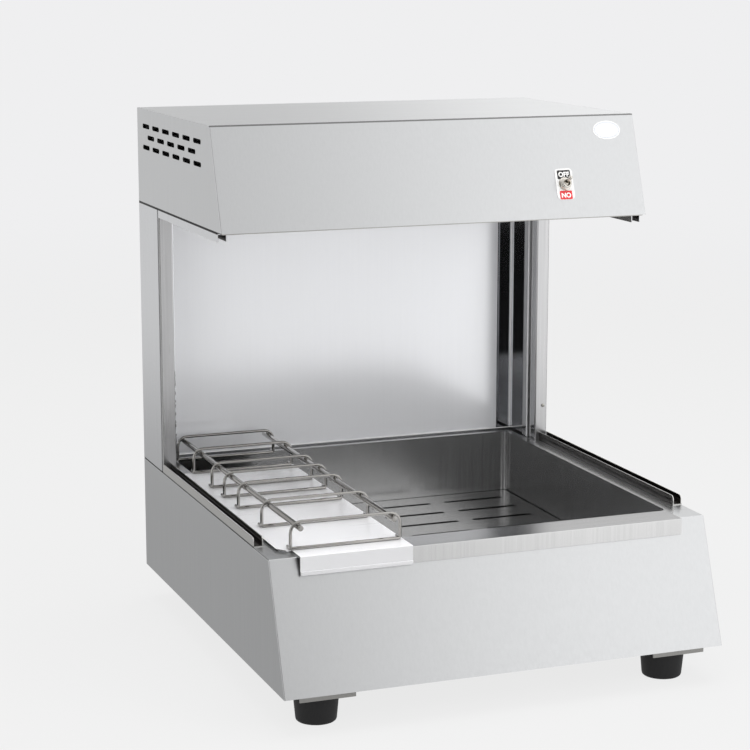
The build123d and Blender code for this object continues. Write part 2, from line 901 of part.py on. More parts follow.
def terminal_block():
    x = terminal_inset - half_width
    y = skin_y - terminal_inset
    width = (x, x + terminal_length)
    base = block(width, (y - terminal_depth, y), (hood_z, hood_z + terminal_height))
    pitch = terminal_length / terminal_ways
    wells = []
    for way in range(terminal_ways):
        for row in (-1, 1):
            place = (x + (way + 0.5) * pitch, y - terminal_depth / 2 + row * terminal_depth / 4)
            low = (*place, hood_z + terminal_height / 2)
            high = (*place, hood_z + 2 * terminal_height)
            wells.append(rod(low, high, screw_head_radius - screw_clearance))
    return base - wells


# --- chip pan and drain plate ---


def pan_outline(growth, z):
    x = (-pan_half - growth, pan_half + growth)
    y = (pan_front - growth, pan_rear + growth)
    return rounded_plate(x, y, z, pan_corner + growth)


def chip_pan():
    tub = pan_outline(sheet, (pan_floor_z - sheet, rim_z))
    bottom = tub.edges().filter_by(lambda edge: edge.center().Z < pan_floor_z)
    tub = fillet(bottom, pan_bend + sheet)
    well = pan_outline(0, (pan_floor_z, rim_z + sheet))
    well_bottom = well.edges().filter_by(lambda edge: edge.center().Z < pan_floor_z + sheet / 2)
    well = fillet(well_bottom, pan_bend)
    chamfer_y = pan_front
    rim_points = [
        (pan_flange_half, pan_flange_end),
        (pan_flange_half, chamfer_y),
        (pan_flange_half - pan_chamfer_x, chamfer_y - pan_chamfer_y),
        (apron_half, chamfer_y - pan_chamfer_y),
        (apron_half, apron_outer),
    ]
    outline = rim_points + [(-x, y) for x, y in reversed(rim_points)]
    rim = Pos(0, 0, rim_z - sheet) * extrude(make_face(Polyline(*outline, close=True)), amount=sheet)
    apron = block((-apron_half, apron_half), (apron_outer, apron_inner), (rim_z - apron_height, rim_z))
    pan = tub + rim + apron - well
    fold = pan.edges().filter_by(Axis.X).filter_by(
        lambda edge: abs(edge.center().Z - rim_z) < 0.01 and abs(edge.center().Y - apron_outer) < 0.01
    )
    return fillet(fold, sheet * 0.8)


def drain_plate():
    # slotted plate on turned-down edges, so that oil and crumbs fall below the chips
    x = (drain_left, pan_half - drain_gap)
    y = (pan_front + drain_gap, pan_rear - drain_gap)
    tray = rounded_plate(x, y, (drain_z - drain_height, drain_z + sheet), pan_corner)
    inner_x = (x[0] + sheet, x[1] - sheet)
    inner_y = (y[0] + sheet, y[1] - sheet)
    under = rounded_plate(inner_x, inner_y, (drain_z - 2 * drain_height, drain_z), pan_corner - sheet)
    # as many slots in a row as the plate's width takes, evenly spread
    run_x = x[1] - x[0] - 2 * drain_margin_x
    gaps_x = int(run_x / (drain_slot_length + drain_land))
    pitch_x = run_x / gaps_x
    pitch_y = (y[1] - y[0] - 2 * drain_margin_y) / (drain_rows - 1)
    centres = [
        (x[0] + drain_margin_x + pitch_x * column, y[0] + drain_margin_y + pitch_y * row)
        for column in range(gaps_x + 1)
        for row in range(drain_rows)
    ]
    face = Plane.XY.offset(drain_z)
    return tray - under - slots(centres, face, drain_slot_length, drain_slot_width)


# --- cup rack ---


def cup_shelf():
    # one folded sheet: shelf, front apron over the pan's apron, and a wall down to the pan's floor
    top = shelf_z + sheet
    apron_low = rim_z - apron_height - sheet
    outline = [
        (shelf_right, shelf_rear_y),
        (shelf_left, shelf_rear_y),
        (shelf_left, pan_front),
        (shelf_left + pan_chamfer_x, pan_front - pan_chamfer_y),
        (-apron_half, pan_front - pan_chamfer_y),
        (-apron_half, shelf_front),
        (shelf_right, shelf_front),
    ]
    plate = Pos(0, 0, shelf_z) * extrude(make_face(Polyline(*outline, close=True)), amount=sheet)
    apron_x = (-apron_half, shelf_right)
    apron = block(apron_x, (shelf_front, shelf_front + sheet), (apron_low, top))
    hem_z = (apron_low, apron_low + shelf_apron_hem)
    hem = block(apron_x, (shelf_front - sheet, shelf_front), hem_z)
    wall_y = (pan_front + drain_gap, shelf_rear_y)
    wall = block((shelf_right - sheet, shelf_right), wall_y, (pan_floor_z + seat, top))
    lip_y = (shelf_rear_y - sheet, shelf_rear_y)
    rear_lip = block((-pan_half + drain_gap, shelf_right), lip_y, (shelf_z - shelf_rear_lip, top))
    shelf = plate + apron + hem + wall + rear_lip
    fold = shelf.edges().filter_by(Axis.X).filter_by(
        lambda edge: abs(edge.center().Z - top) < 0.01 and abs(edge.center().Y - shelf_front) < 0.01
    )
    return fillet(fold, sheet * 0.8)


def cup_hoop(y):
    # closed wire hoop: bent top and legs, a straight wire along the shelf, and a toe at each leg
    top = hoop_z + hoop_rise
    corners = [(hoop_left, hoop_z), (hoop_left, top), (hoop_right, top), (hoop_right, hoop_z)]
    path = FilletPolyline(*[(x, y, z) for x, z in corners], radius=hoop_bend)
    arch = sweep(Plane(origin=path @ 0, z_dir=path % 0) * Circle(hoop_radius), path=path)
    cross = rod((hoop_left - hoop_radius, y, hoop_z), (hoop_right + hoop_radius, y, hoop_z), hoop_radius)
    toe = rod((hoop_left, y, hoop_z), (hoop_left, y + hoop_toe, hoop_z), hoop_radius)
    other_toe = rod((hoop_right, y, hoop_z), (hoop_right, y + hoop_toe, hoop_z), hoop_radius)
    return arch + cross + toe + other_toe


def rack_rod(x):
    bar = rod((x, hoop_y[0] - rod_overhang, rod_z), (x, hoop_y[-1] + rod_overhang, rod_z), rod_radius)
    return chamfer(bar.edges().filter_by(GeomType.CIRCLE), rod_radius / 6)


# --- the assembly ---


def pieces():
    found = {
        "base_shell": base_shell(),
        "base_floor": base_floor(),
        "base_back_panel": base_back_panel(),
        "inlet_recess": inlet_recess(),
        "cable_gland": cable_gland(),
        "gland_nut": gland_nut(),
        "foot_screws": [foot_screw(x, y) for x, y in foot_places()],
        "foot_nuts": [foot_nut(x, y) for x, y in foot_places()],
        "back_wall": back_wall(),
        "rear_cover": rear_cover(),
        "rear_screws": rear_screws(base_back_screw_places() + rear_cover_screw_places()),
        "left_front_post": other_side(front_post()),
        "right_front_post": screwed_post(),
        "post_screw": post_screw(),
        "hood_body": hood_body(),
        "hood_lid": hood_lid(),
        "hood_floor": hood_floor(),
        "reflector": reflector(),
        "heater_coils": [heater_coil(y) for y in tube_places()],
        "heater_guard": heater_guard(),
        "guard_clips": [guard_clip(x, y) for x in (-lamp_half / 2, lamp_half / 2) for y in (-1, 1)],
        "switch_body": switch_body(),
        "switch_nut": switch_nut(),
        "switch_plate": switch_plate(),
        "toggle_lever": toggle_lever(),
        "terminal_block": terminal_block(),
        "chip_pan": chip_pan(),
        "drain_plate": drain_plate(),
        "cup_shelf": cup_shelf(),
        "left_rack_rod": rack_rod(hoop_left + rod_inset),
        "right_rack_rod": rack_rod(hoop_right - rod_inset),
    }
    for name, (x, y) in zip(("front_left", "front_right", "rear_left", "rear_right"), foot_places()):
        found[name + "_foot"] = rubber_foot(x, y)
        found[name + "_foot_plate"] = foot_bracket(x, y)
    paired = {
        "side_panel": side_panel,
        "lower_glass_channel": lower_channel,
        "upper_glass_channel": upper_channel,
        "tube_bracket": tube_bracket,
    }
    for name, make in paired.items():
        found["right_" + name] = make()
        found["left_" + name] = other_side(make())
    caps = [heater_cap(y) for y in tube_places()]
    found["heater_end_caps"] = caps + [other_side(cap) for cap in caps]
    for name, y in zip(("front", "rear"), tube_places()):
        found[name + "_heater_tube"] = heater_tube(y)
    for number, y in enumerate(hoop_y, start=1):
        found[f"cup_hoop_{number}"] = cup_hoop(y)
    return found


os.makedirs("parts", exist_ok=True)
for node, shape in pieces().items():
    solids = shape if isinstance(shape, list) else [shape]
    export_step(Compound([solid for piece in solids for solid in piece.solids()]), f"parts/{node}.step")
    print(node)
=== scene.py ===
import json
import math
import bpy
from mathutils import Matrix, Vector


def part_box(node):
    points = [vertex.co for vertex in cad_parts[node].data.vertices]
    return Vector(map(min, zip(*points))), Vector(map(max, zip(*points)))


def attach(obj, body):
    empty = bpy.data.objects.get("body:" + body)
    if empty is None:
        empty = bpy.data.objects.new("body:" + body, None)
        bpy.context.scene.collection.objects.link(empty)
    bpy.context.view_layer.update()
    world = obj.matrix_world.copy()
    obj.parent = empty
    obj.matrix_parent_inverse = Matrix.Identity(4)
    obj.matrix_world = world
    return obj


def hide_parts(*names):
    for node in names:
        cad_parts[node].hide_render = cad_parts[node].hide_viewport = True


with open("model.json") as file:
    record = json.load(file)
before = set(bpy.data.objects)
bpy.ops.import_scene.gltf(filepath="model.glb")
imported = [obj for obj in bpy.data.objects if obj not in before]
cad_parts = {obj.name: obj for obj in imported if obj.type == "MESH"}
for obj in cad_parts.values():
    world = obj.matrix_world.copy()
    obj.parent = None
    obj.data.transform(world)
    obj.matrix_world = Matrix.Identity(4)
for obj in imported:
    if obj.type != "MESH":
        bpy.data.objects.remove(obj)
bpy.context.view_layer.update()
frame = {"nodes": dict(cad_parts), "record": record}
nodes = frame["nodes"]
print("stage: frame loaded,", len(nodes), "nodes")

mm = 0.001  # a millimetre in metres


# camera: a long lens a little above the pan, to the left of the middle
cameraSetup = {
    "target": (-56.742, 0.0, 348.309),  # mm
    "distance": 2729.457,  # mm
    "azimuth": -20.852,  # degrees
    "elevation": 11.059,  # degrees
    "lens": 103.944,  # mm, on the sensor below
    "sensor": 36,  # mm
    "clipEnd": 60,  # m
}


def placeCamera(setup):
    azimuth = math.radians(setup["azimuth"])
    elevation = math.radians(setup["elevation"])
    away = Vector((
        math.sin(azimuth) * math.cos(elevation),
        -math.cos(azimuth) * math.cos(elevation),
        math.sin(elevation),
    ))
    target = Vector(setup["target"]) * mm
    data = bpy.data.cameras.new("camera")
    data.lens = setup["lens"]
    data.sensor_width = setup["sensor"]
    data.clip_end = setup["clipEnd"]
    camera = bpy.data.objects.new("camera", data)
    camera.location = target + away * setup["distance"] * mm
    camera.rotation_euler = away.to_track_quat("Z", "Y").to_euler()
    bpy.context.scene.collection.objects.link(camera)
    bpy.context.scene.camera = camera


placeCamera(cameraSetup)


def applyPlace():
    bpy.ops.object.transform_apply(location=True, rotation=True, scale=True)


def extrude(offset):
    # draws what is selected on, by an offset in metres
    bpy.ops.mesh.extrude_region_move(TRANSFORM_OT_translate={"value": offset})


def primitive(kind, scale=(1, 1, 1), **settings):
    # a mesh primitive at its size and place, with the place in its mesh
    if bpy.context.object and bpy.context.object.mode == "EDIT":
        bpy.ops.object.mode_set(mode="OBJECT")
    bpy.ops.object.select_all(action="DESELECT")
    getattr(bpy.ops.mesh, "primitive_" + kind + "_add")(**settings)
    piece = bpy.context.object
    piece.scale = scale
    applyPlace()
    return piece


def editAll():
    # the active piece in edit mode, with all of it selected
    bpy.ops.object.mode_set(mode="EDIT")
    bpy.ops.mesh.select_mode(type="VERT")
    bpy.ops.mesh.select_all(action="SELECT")


def pickEdges(piece, test):
    # in edit mode, only the edges that pass a test on their middle, in mm, and their direction
    bpy.ops.object.mode_set(mode="EDIT")
    bpy.ops.mesh.select_mode(type="EDGE")
    bpy.ops.mesh.select_all(action="DESELECT")
    bpy.ops.object.mode_set(mode="OBJECT")
    for edge in piece.data.edges:
        start, end = [piece.data.vertices[index].co / mm for index in edge.vertices]
        edge.select = bool(test((start + end) / 2, (end - start).normalized()))
    bpy.ops.object.mode_set(mode="EDIT")


def objectMode(piece):
    bpy.context.view_layer.objects.active = piece
    bpy.ops.object.mode_set(mode="OBJECT")
    bpy.ops.object.select_all(action="DESELECT")
    piece.select_set(True)


def joined(parts):
    objectMode(parts[0])
    for part in parts:
        part.select_set(True)
    bpy.ops.object.join()
    return parts[0]


def copied(piece, offset=(0, 0, 0), mirrored=False):
    # a copy with its own mesh, moved in mm or mirrored to the other side
    made = piece.copy()
    made.data = piece.data.copy()
    bpy.context.scene.collection.objects.link(made)
    if mirrored:
        made.data.transform(Matrix.Scale(-1, 4, (1, 0, 0)))
    made.data.transform(Matrix.Translation(Vector(offset) * mm))
    return made


def placed(piece, place, direction=(0, 0, 1)):
    # turns a mesh made at the origin, with its axis up, to its direction and moves it to its place in mm
    objectMode(piece)
    piece.rotation_euler = Vector(direction).to_track_quat("Z", "Y").to_euler()
    piece.location = Vector(place) * mm
    applyPlace()
    return piece


def bar(low, high, rounding):
    # a bar between two corners in mm with all its edges rounded
    low, high = Vector(low) * mm, Vector(high) * mm
    piece = primitive("cube", size=1, location=(low + high) / 2, scale=high - low)
    editAll()
    bpy.ops.mesh.bevel(offset=rounding * mm, segments=2, affect="EDGES")
    objectMode(piece)
    return piece


def turned(rings, sides=32, closed=False):
    # a round piece: a ring carried up and resized through (radius, height) pairs in mm
    (radius, height), rest = rings[0], rings[1:]
    piece = primitive("circle", vertices=sides, radius=radius * mm, location=(0, 0, height * mm))
    editAll()
    for nextRadius, nextHeight in rest:
        extrude((0, 0, (nextHeight - height) * mm))
        factor = nextRadius / radius
        bpy.ops.transform.resize(value=(factor, factor, 1), center_override=(0, 0, nextHeight * mm))
        radius, height = nextRadius, nextHeight
    if closed:
        bpy.ops.mesh.select_all(action="DESELECT")
        bpy.ops.mesh.select_mode(type="EDGE")
        bpy.ops.mesh.select_non_manifold()
        bpy.ops.mesh.bridge_edge_loops()
    else:
        bpy.ops.mesh.select_all(action="SELECT")
        bpy.ops.mesh.fill_holes(sides=0)
    objectMode(piece)
    return piece


wireForm = {"sides": 12, "bendSteps": 6, "endRounding": 0.4}  # the last is a share of the radius


def bentWire(start, heading, radius, moves):
    # a round wire: a ring drawn along straight runs and spun round its bends, with rounded ends
    place, heading = Vector(start) * mm, Vector(heading)
    wire = primitive(
        "circle", vertices=wireForm["sides"], radius=radius * mm, location=place,
        rotation=heading.to_track_quat("Z", "Y").to_euler(),
    )
    editAll()
    for move in moves:
        if move[0] == "run":
            step = heading * move[1] * mm
            extrude(step)
            place = place + step
        else:
            towards, bend = Vector(move[1]), move[2] * mm
            centre = place + towards * bend
            axis = towards.cross(heading)
            bpy.ops.mesh.spin(steps=wireForm["bendSteps"], angle=math.pi / 2, center=centre, axis=axis)
            place, heading = centre + heading * bend, towards
    bpy.ops.mesh.select_all(action="SELECT")
    bpy.ops.mesh.fill_holes(sides=0)
    bpy.ops.mesh.select_mode(type="FACE")
    bpy.ops.mesh.select_all(action="DESELECT")
    bpy.ops.object.mode_set(mode="OBJECT")
    for face in wire.data.polygons:
        face.select = len(face.vertices) == wireForm["sides"]
    bpy.ops.object.mode_set(mode="EDIT")
    bpy.ops.mesh.bevel(offset=radius * wireForm["endRounding"] * mm, segments=2, affect="EDGES")
    objectMode(wire)
    return wire


def cutBy(piece, cutter):
    # takes the cutter's shape out of the piece
    change = piece.modifiers.new("cut", "BOOLEAN")
    change.operation, change.solver, change.object = "DIFFERENCE", "EXACT", cutter
    objectMode(piece)
    bpy.ops.object.modifier_apply(modifier="cut")
    bpy.data.objects.remove(cutter)


def hexagon(flats, low, high, bore, chamfer, bothEnds=False):
    # a six-sided nut standing along Z, its corners chamfered, with a bore
    middle = (low + high) / 2
    piece = primitive(
        "cylinder", vertices=6, radius=flats / math.sqrt(3) * mm, depth=(high - low) * mm,
        location=(0, 0, middle * mm),
    )
    pickEdges(piece, lambda place, along: abs(along.z) < 0.5 and (bothEnds or place.z > middle))
    bpy.ops.mesh.bevel(offset=chamfer * mm, segments=2, affect="EDGES")
    objectMode(piece)
    through = 3 * (high - low) * mm
    cutBy(piece, primitive("cylinder", vertices=40, radius=bore * mm, depth=through, location=(0, 0, middle * mm)))
    return piece


mergeWithin = 0.000002  # m


def finished(piece, name, body, material, angle=35, stands=()):
    # merges and turns the faces outwards, smooths, and gives the piece its name, body and finish
    objectMode(piece)
    editAll()
    bpy.ops.mesh.remove_doubles(threshold=mergeWithin)
    bpy.ops.mesh.normals_make_consistent(inside=False)
    objectMode(piece)
    bpy.ops.object.shade_smooth_by_angle(angle=math.radians(angle))
    piece.name = piece.data.name = name
    piece.data.materials.clear()
    piece.data.materials.append(materials[material])
    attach(piece, body)
    if stands:
        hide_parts(*stands)
    return piece


def boxOf(name):
    # a node's corners in mm
    low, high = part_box(name)
    return Vector(low) / mm, Vector(high) / mm


def colour(code):
    # a hex value as seen on a screen, turned to linear
    out = []
    for start in (0, 2, 4):
        value = int(code[start:start + 2], 16) / 255
        out.append(value / 12.92 if value <= 0.04045 else ((value + 0.055) / 1.055) ** 2.4)
    return (*out, 1.0)


def dimmed(code, share):
    # a hex colour with only a share of its light
    return tuple(part * share for part in colour(code)[:3]) + (1.0,)


def grey(level):
    return (level, level, level, 1)


def node(tree, kind, links=None, **settings):
    # adds a node, sets its properties, fills or links its inputs, and gives its outputs
    made = tree.nodes.new("ShaderNode" + kind)
    for name, value in settings.items():
        setattr(made, name, value)
    for name, value in (links or {}).items():
        if isinstance(value, bpy.types.NodeSocket):
            tree.links.new(value, made.inputs[name])
        else:
            made.inputs[name].default_value = value
    return made.outputs


def newMaterial(name):
    material = bpy.data.materials.new(name)
    material.use_nodes = True
    tree = material.node_tree
    tree.nodes.clear()
    return material, tree


def millimetres(tree, scale=(1, 1, 1)):
    # Object coordinates in millimetres, stretched by a scale along each axis
    place = node(tree, "TexCoord")["Object"]
    factor = tuple(1000 * part for part in scale)
    return node(tree, "Mapping", {"Vector": place, "Scale": factor})["Vector"]


def placeOn(tree):
    # the place on the object along X, Y and Z, in mm
    return node(tree, "SeparateXYZ", {"Vector": millimetres(tree)})


def facing(tree):
    # how far a face looks along X, Y and Z
    return node(tree, "SeparateXYZ", {"Vector": node(tree, "TexCoord")["Normal"]})


def between(value, ends, levels):
    # the inputs of a Map Range node, from two ends to two levels
    return {"Value": value, "From Min": ends[0], "From Max": ends[1], "To Min": levels[0], "To Max": levels[1]}


# stainless sheet: fine straight scratches that spread each reflection along one way
sheetLooks = {
    # name: colour, roughness, way of the grain on level faces, depth of the scratches,
    # unevenness of the tone, metallic
    # satin-ground outer sheet: soft grey, with broad blurred reflections
    "satinStainless": ("D2D3D4", 0.33, "X", 0.10, 0.03, 1.0),
    # satin-ground side panels of the column: paler, and grained upwards
    "panelStainless": ("DEDFE1", 0.30, "Y", 0.10, 0.03, 1.0),
    # folded upper glass channels of that sheet: pale outside, with painted shade on the walls that look inward
    "railStainless": ("DEDFE1", 0.30, "Y", 0.10, 0.03, 1.0),
    # cold-rolled lower glass channels: smoother and warmer, with a narrow gloss along the edges, and painted shade
    # on the walls that look inward
    "channelStainless": ("D6D5D2", 0.17, "Y", 0.05, 0.04, 1.0),
    # coarsely brushed post strips: streaks of light and dark up the strip
    "brushedStainless": ("CFCFD0", 0.30, "X", 0.20, 0.12, 1.0),
    # bright-annealed back wall, lit by the lamp above: nearly white, with a soft sheen
    "wallStainless": ("F5F6F9", 0.20, "X", 0.03, 0.02, 0.35),
    # bright-annealed cup shelf under the lamp: almost white, and it hardly mirrors; its standing faces carry painted
    # shade, and those that look left at its left side a darker painted shade
    "shelfStainless": ("F8F8FA", 0.30, "X", 0.03, 0.03, 0.12),
    # pressed and polished pan and drain plate: clear reflections, with painted shade on its level faces
    "panStainless": ("D4D4D4", 0.22, "X", 0.08, 0.06, 1.0),
    # inner sheet as the mill rolls it: dull and grey
    "millStainless": ("B4B3B0", 0.42, "Y", 0.12, 0.05, 1.0),
}
grain = {
    # stretch of the noise: lines about 200 mm long and 2 mm wide, coarser than the real grit so that they show
    "long": 0.005, "fine": 0.45, "detail": 3.0, "roughness": 0.6,
    "spread": 0.03,  # of the sheet's roughness, both ways
    "height": 0.00003,  # m
}
noiseSpan = (0.3, 0.7)  # the noise mostly stays between these
steep = 0.7  # a face looks along an axis past this share
paintedFaceShade = {
    # painted shade: level or standing faces of a sheet, and the share of the colour that they keep
    "panStainless": ("level", 0.58), "shelfStainless": ("standing", 0.64),
}
paintedJointShadows = {
    # painted shade: dark lines standing for the shadow in the gaps where the sheets meet and under the lid's edge.
    # mm: how far out the side lines start, and the middle height and half width of each line
    "from": 279.3, "deck": (195.4, 0.9), "hood": (545.3, 1.5), "lid": (669.3, 0.9),
    "tone": 0.03, "lidTone": 0.22, "forward": -0.5,  # grey of the painted shadow lines, and the facing of the hood's front
}
mirrorMargin = {"from": 238, "roughness": 0.05}  # mm from the middle, past which the back wall stays a mirror
mirrorInside = 0.06  # roughness inside the posts
# painted shade on the channels' inward walls: facing times place along X, in mm, is far below zero where a channel's
# wall looks inward
inwardShade = {"past": -100.0, "colour": "6B6966"}
leftEdgeShade = {"left": -240.0, "colour": "1E1C1A"}  # mm, past which the shelf's faces that look left get a painted shade, standing for the shadow gap along its left side


def grainPlace(tree, level):
    # the grain runs up the standing faces and along one axis on the level ones
    long, fine = grain["long"], grain["fine"]
    standing = millimetres(tree, (fine, fine, long))
    lying = millimetres(tree, (long, fine, fine) if level == "X" else (fine, long, fine))
    size = node(tree, "Math", {0: facing(tree)["Z"]}, operation="ABSOLUTE")[0]
    isLevel = node(tree, "Math", {0: size, 1: steep}, operation="GREATER_THAN")[0]
    # a Mix node of vectors: inputs 4 and 5, output 1
    return node(tree, "Mix", {0: isLevel, 4: standing, 5: lying}, data_type="VECTOR")[1]


def jointShade(tree, plain):
    # painted shade: dark lines standing for the shadow in the gaps where the body, the glass channels and the hood
    # are folded against each other, and a painted shadow under the lid's edge
    place = placeOn(tree)
    across = node(tree, "Math", {0: place["X"]}, operation="ABSOLUTE")[0]
    outer = node(tree, "Math", {0: across, 1: paintedJointShadows["from"]}, operation="GREATER_THAN")[0]
    found = {}
    for name in ("deck", "hood", "lid"):
        middle, half = paintedJointShadows[name]
        found[name] = node(tree, "Math", {0: place["Z"], 1: middle, 2: half}, operation="COMPARE")[0]
    either = node(tree, "Math", {0: found["deck"], 1: found["hood"]}, operation="MAXIMUM")[0]
    side = node(tree, "Math", {0: either, 1: outer}, operation="MULTIPLY")[0]
    tone, lidTone = grey(paintedJointShadows["tone"]), grey(paintedJointShadows["lidTone"])
    sides = node(tree, "MixRGB", {"Fac": side, "Color1": plain, "Color2": tone})["Color"]
    front = node(tree, "Math", {0: facing(tree)["Y"], 1: paintedJointShadows["forward"]}, operation="LESS_THAN")[0]
    under = node(tree, "Math", {0: found["lid"], 1: front}, operation="MULTIPLY")[0]
    return node(tree, "MixRGB", {"Fac": under, "Color1": sides, "Color2": lidTone})["Color"]


def mirrorBeside(tree, rough, metallic):
    # the back wall beside the posts keeps its mirror finish
    size = node(tree, "Math", {0: placeOn(tree)["X"]}, operation="ABSOLUTE")[0]
    beside = node(tree, "Math", {0: size, 1: mirrorMargin["from"]}, operation="GREATER_THAN")[0]
    rough = node(tree, "Mix", {0: beside, 2: rough, 3: mirrorMargin["roughness"]})[0]
    return rough, node(tree, "Mix", {0: beside, 2: metallic, 3: 1.0})[0]


def mirrorWithin(tree, rough):
    # only the posts' front strips are ground, and the faces inside keep the sheet's mirror finish
    size = node(tree, "Math", {0: facing(tree)["X"]}, operation="ABSOLUTE")[0]
    inside = node(tree, "Math", {0: size, 1: steep}, operation="GREATER_THAN")[0]
    return node(tree, "Mix", {0: inside, 2: rough, 3: mirrorInside})[0]


def paintInwardShade(tree, shown):
    # painted shade: the channels' walls that look inward get a darker colour
    product = node(tree, "Math", {0: facing(tree)["X"], 1: placeOn(tree)["X"]}, operation="MULTIPLY")[0]
    inward = node(tree, "Math", {0: product, 1: inwardShade["past"]}, operation="LESS_THAN")[0]
    shadeColour = colour(inwardShade["colour"])
    return node(tree, "MixRGB", {"Fac": inward, "Color1": shown, "Color2": shadeColour})["Color"]


def shadeFaces(tree, shown, name):
    # painted shade: darkens the level or the standing faces
    way, keep = paintedFaceShade[name]
    operation = "GREATER_THAN" if way == "level" else "LESS_THAN"
    chosen = node(tree, "Math", {0: facing(tree)["Z"], 1: steep}, operation=operation)[0]
    shadedColour = dimmed(sheetLooks[name][0], keep)
    return node(tree, "MixRGB", {"Fac": chosen, "Color1": shown, "Color2": shadedColour})["Color"]


def shadeLeftEdges(tree, shown):
    # painted shade: the faces that look left along the shelf's left side are darkened, standing for the shadow gap
    # there
    left = node(tree, "Math", {0: facing(tree)["X"], 1: -steep}, operation="LESS_THAN")[0]
    outer = node(tree, "Math", {0: placeOn(tree)["X"], 1: leftEdgeShade["left"]}, operation="LESS_THAN")[0]
    both = node(tree, "Math", {0: left, 1: outer}, operation="MULTIPLY")[0]
    dark = colour(leftEdgeShade["colour"])
    return node(tree, "MixRGB", {"Fac": both, "Color1": shown, "Color2": dark})["Color"]


def sheetMaterial(name):
    code, roughness, level, depth, unevenness, metallic = sheetLooks[name]
    material, tree = newMaterial(name)
    noise = {
        "Vector": grainPlace(tree, level), "Scale": 1.0, "Detail": grain["detail"], "Roughness": grain["roughness"],
    }
    lines = node(tree, "TexNoise", noise)["Fac"]
    levels = (roughness - grain["spread"], roughness + grain["spread"])
    rough = node(tree, "MapRange", between(lines, noiseSpan, levels))["Result"]
    tint = node(tree, "MixRGB", {"Fac": lines, "Color1": colour(code), "Color2": dimmed(code, 1 - 2 * unevenness)})
    # painted shade along the joints and under the lid
    shown = jointShade(tree, tint["Color"])
    if name == "wallStainless":
        rough, metallic = mirrorBeside(tree, rough, metallic)
    if name == "brushedStainless":
        rough = mirrorWithin(tree, rough)
    # painted shade on the channels' inward walls
    if name in ("channelStainless", "railStainless"):
        shown = paintInwardShade(tree, shown)
    # painted shade on level or standing faces
    if name in paintedFaceShade:
        shown = shadeFaces(tree, shown, name)
    # painted shade along the shelf's left side
    if name == "shelfStainless":
        shown = shadeLeftEdges(tree, shown)
    bump = node(tree, "Bump", {"Height": lines, "Strength": depth, "Distance": grain["height"]})
    shader = node(tree, "BsdfPrincipled", {
        "Base Color": shown, "Metallic": metallic, "Roughness": rough, "Normal": bump["Normal"],
    })
    node(tree, "OutputMaterial", {"Surface": shader["BSDF"]})
    return material


plainLooks = {
    # name: colour, roughness, metallic, size of the grit in mm, depth of its bump, spread of the roughness both ways
    # drawn and electropolished wire: a mirror, with one bright and one dark line along it
    "polishedWire": ("A6A4A1", 0.05, 1.0, 3.0, 0.02, 0.01),
    # moulded rubber of the feet: black and matt, with a faint grit
    "blackRubber": ("161617", 0.55, 0.0, 0.5, 0.35, 0.04),
    # zinc-plated steel of the screws: pale grey and satin
    "zincSteel": ("B8B6B0", 0.30, 1.0, 0.8, 0.1, 0.04),
    # nickel-plated brass of the switch: warm and glossy, a little blurred
    "nickelPlate": ("DDD9D1", 0.22, 1.0, 0.8, 0.05, 0.04),
    # moulded nylon of the gland and the switch's body: black with a low sheen
    "blackNylon": ("1B1B1C", 0.45, 0.0, 0.4, 0.15, 0.04),
    # vinyl label: a flat, even white
    "whiteLabel": ("E2E2E1", 0.35, 0.0, 0.6, 0.03, 0.04),
    # fired steatite of the end caps: cream and quite matt
    "ceramicBody": ("D9D3C4", 0.6, 0.0, 0.4, 0.2, 0.04),
    # resistance wire oxidised by its heat: brown-grey, half shiny
    "oxidisedCoil": ("5A4E46", 0.45, 0.8, 0.3, 0.2, 0.04),
    # rolled bright aluminium of the reflector: light, with long soft waves
    "brightAluminium": ("DADAD8", 0.18, 1.0, 4.0, 0.08, 0.04),
    # drawn quartz tube: clear and glossy
    "quartzGlass": ("F4F4F2", 0.06, 0.0, 2.0, 0.02, 0.02),
    # painted shade: a black lining, smoother than the feet, standing for the dark inside the glass channels
    "glazingRubber": ("1C1917", 0.38, 0.0, 1.2, 0.1, 0.04),
    # painted highlight: a pale, barely metallic bar on the bent edge of bright sheet, so that it shows as a thin
    # light line
    "brightFold": ("F8F8FA", 0.25, 0.1, 0.8, 0.05, 0.04),
    # smoothed silicone sealant: an even mid grey
    "greySealant": ("9A9A9A", 0.5, 0.0, 0.8, 0.1, 0.04),
    # painted shadow: a black bar put deep in a seam, standing for the shadow there
    "seamShadow": ("0E0E0E", 0.7, 0.0, 0.8, 0.1, 0.04),
    # screen-printed inks: flat, with crisp edges
    "blackPrint": ("1A1A1B", 0.4, 0.0, 0.5, 0.03, 0.04),
    "redPrint": ("D3222A", 0.4, 0.0, 0.5, 0.03, 0.04),
    "whitePrint": ("F2F2F0", 0.4, 0.0, 0.5, 0.03, 0.04),
    "stickerRim": ("C9CCD2", 0.35, 0.0, 0.5, 0.03, 0.04),
}
glassInputs = {"Transmission Weight": 1.0, "IOR": 1.46}
gritHeight = 0.0001  # m


def plainMaterial(name):
    # a finish with small random grit
    code, roughness, metallic, grit, depth, spread = plainLooks[name]
    material, tree = newMaterial(name)
    noise = {"Vector": millimetres(tree), "Scale": 1 / grit, "Detail": grain["detail"]}
    grains = node(tree, "TexNoise", noise)["Fac"]
    rough = node(tree, "MapRange", between(grains, noiseSpan, (roughness - spread, roughness + spread)))
    bump = node(tree, "Bump", {"Height": grains, "Strength": depth, "Distance": gritHeight})
    shader = node(tree, "BsdfPrincipled", {
        "Base Color": colour(code), "Metallic": metallic,
        "Roughness": rough["Result"], "Normal": bump["Normal"],
        **(glassInputs if name == "quartzGlass" else {}),
    })
    node(tree, "OutputMaterial", {"Surface": shader["BSDF"]})
    return material


materials = {name: sheetMaterial(name) for name in sheetLooks}
materials.update({name: plainMaterial(name) for name in plainLooks})

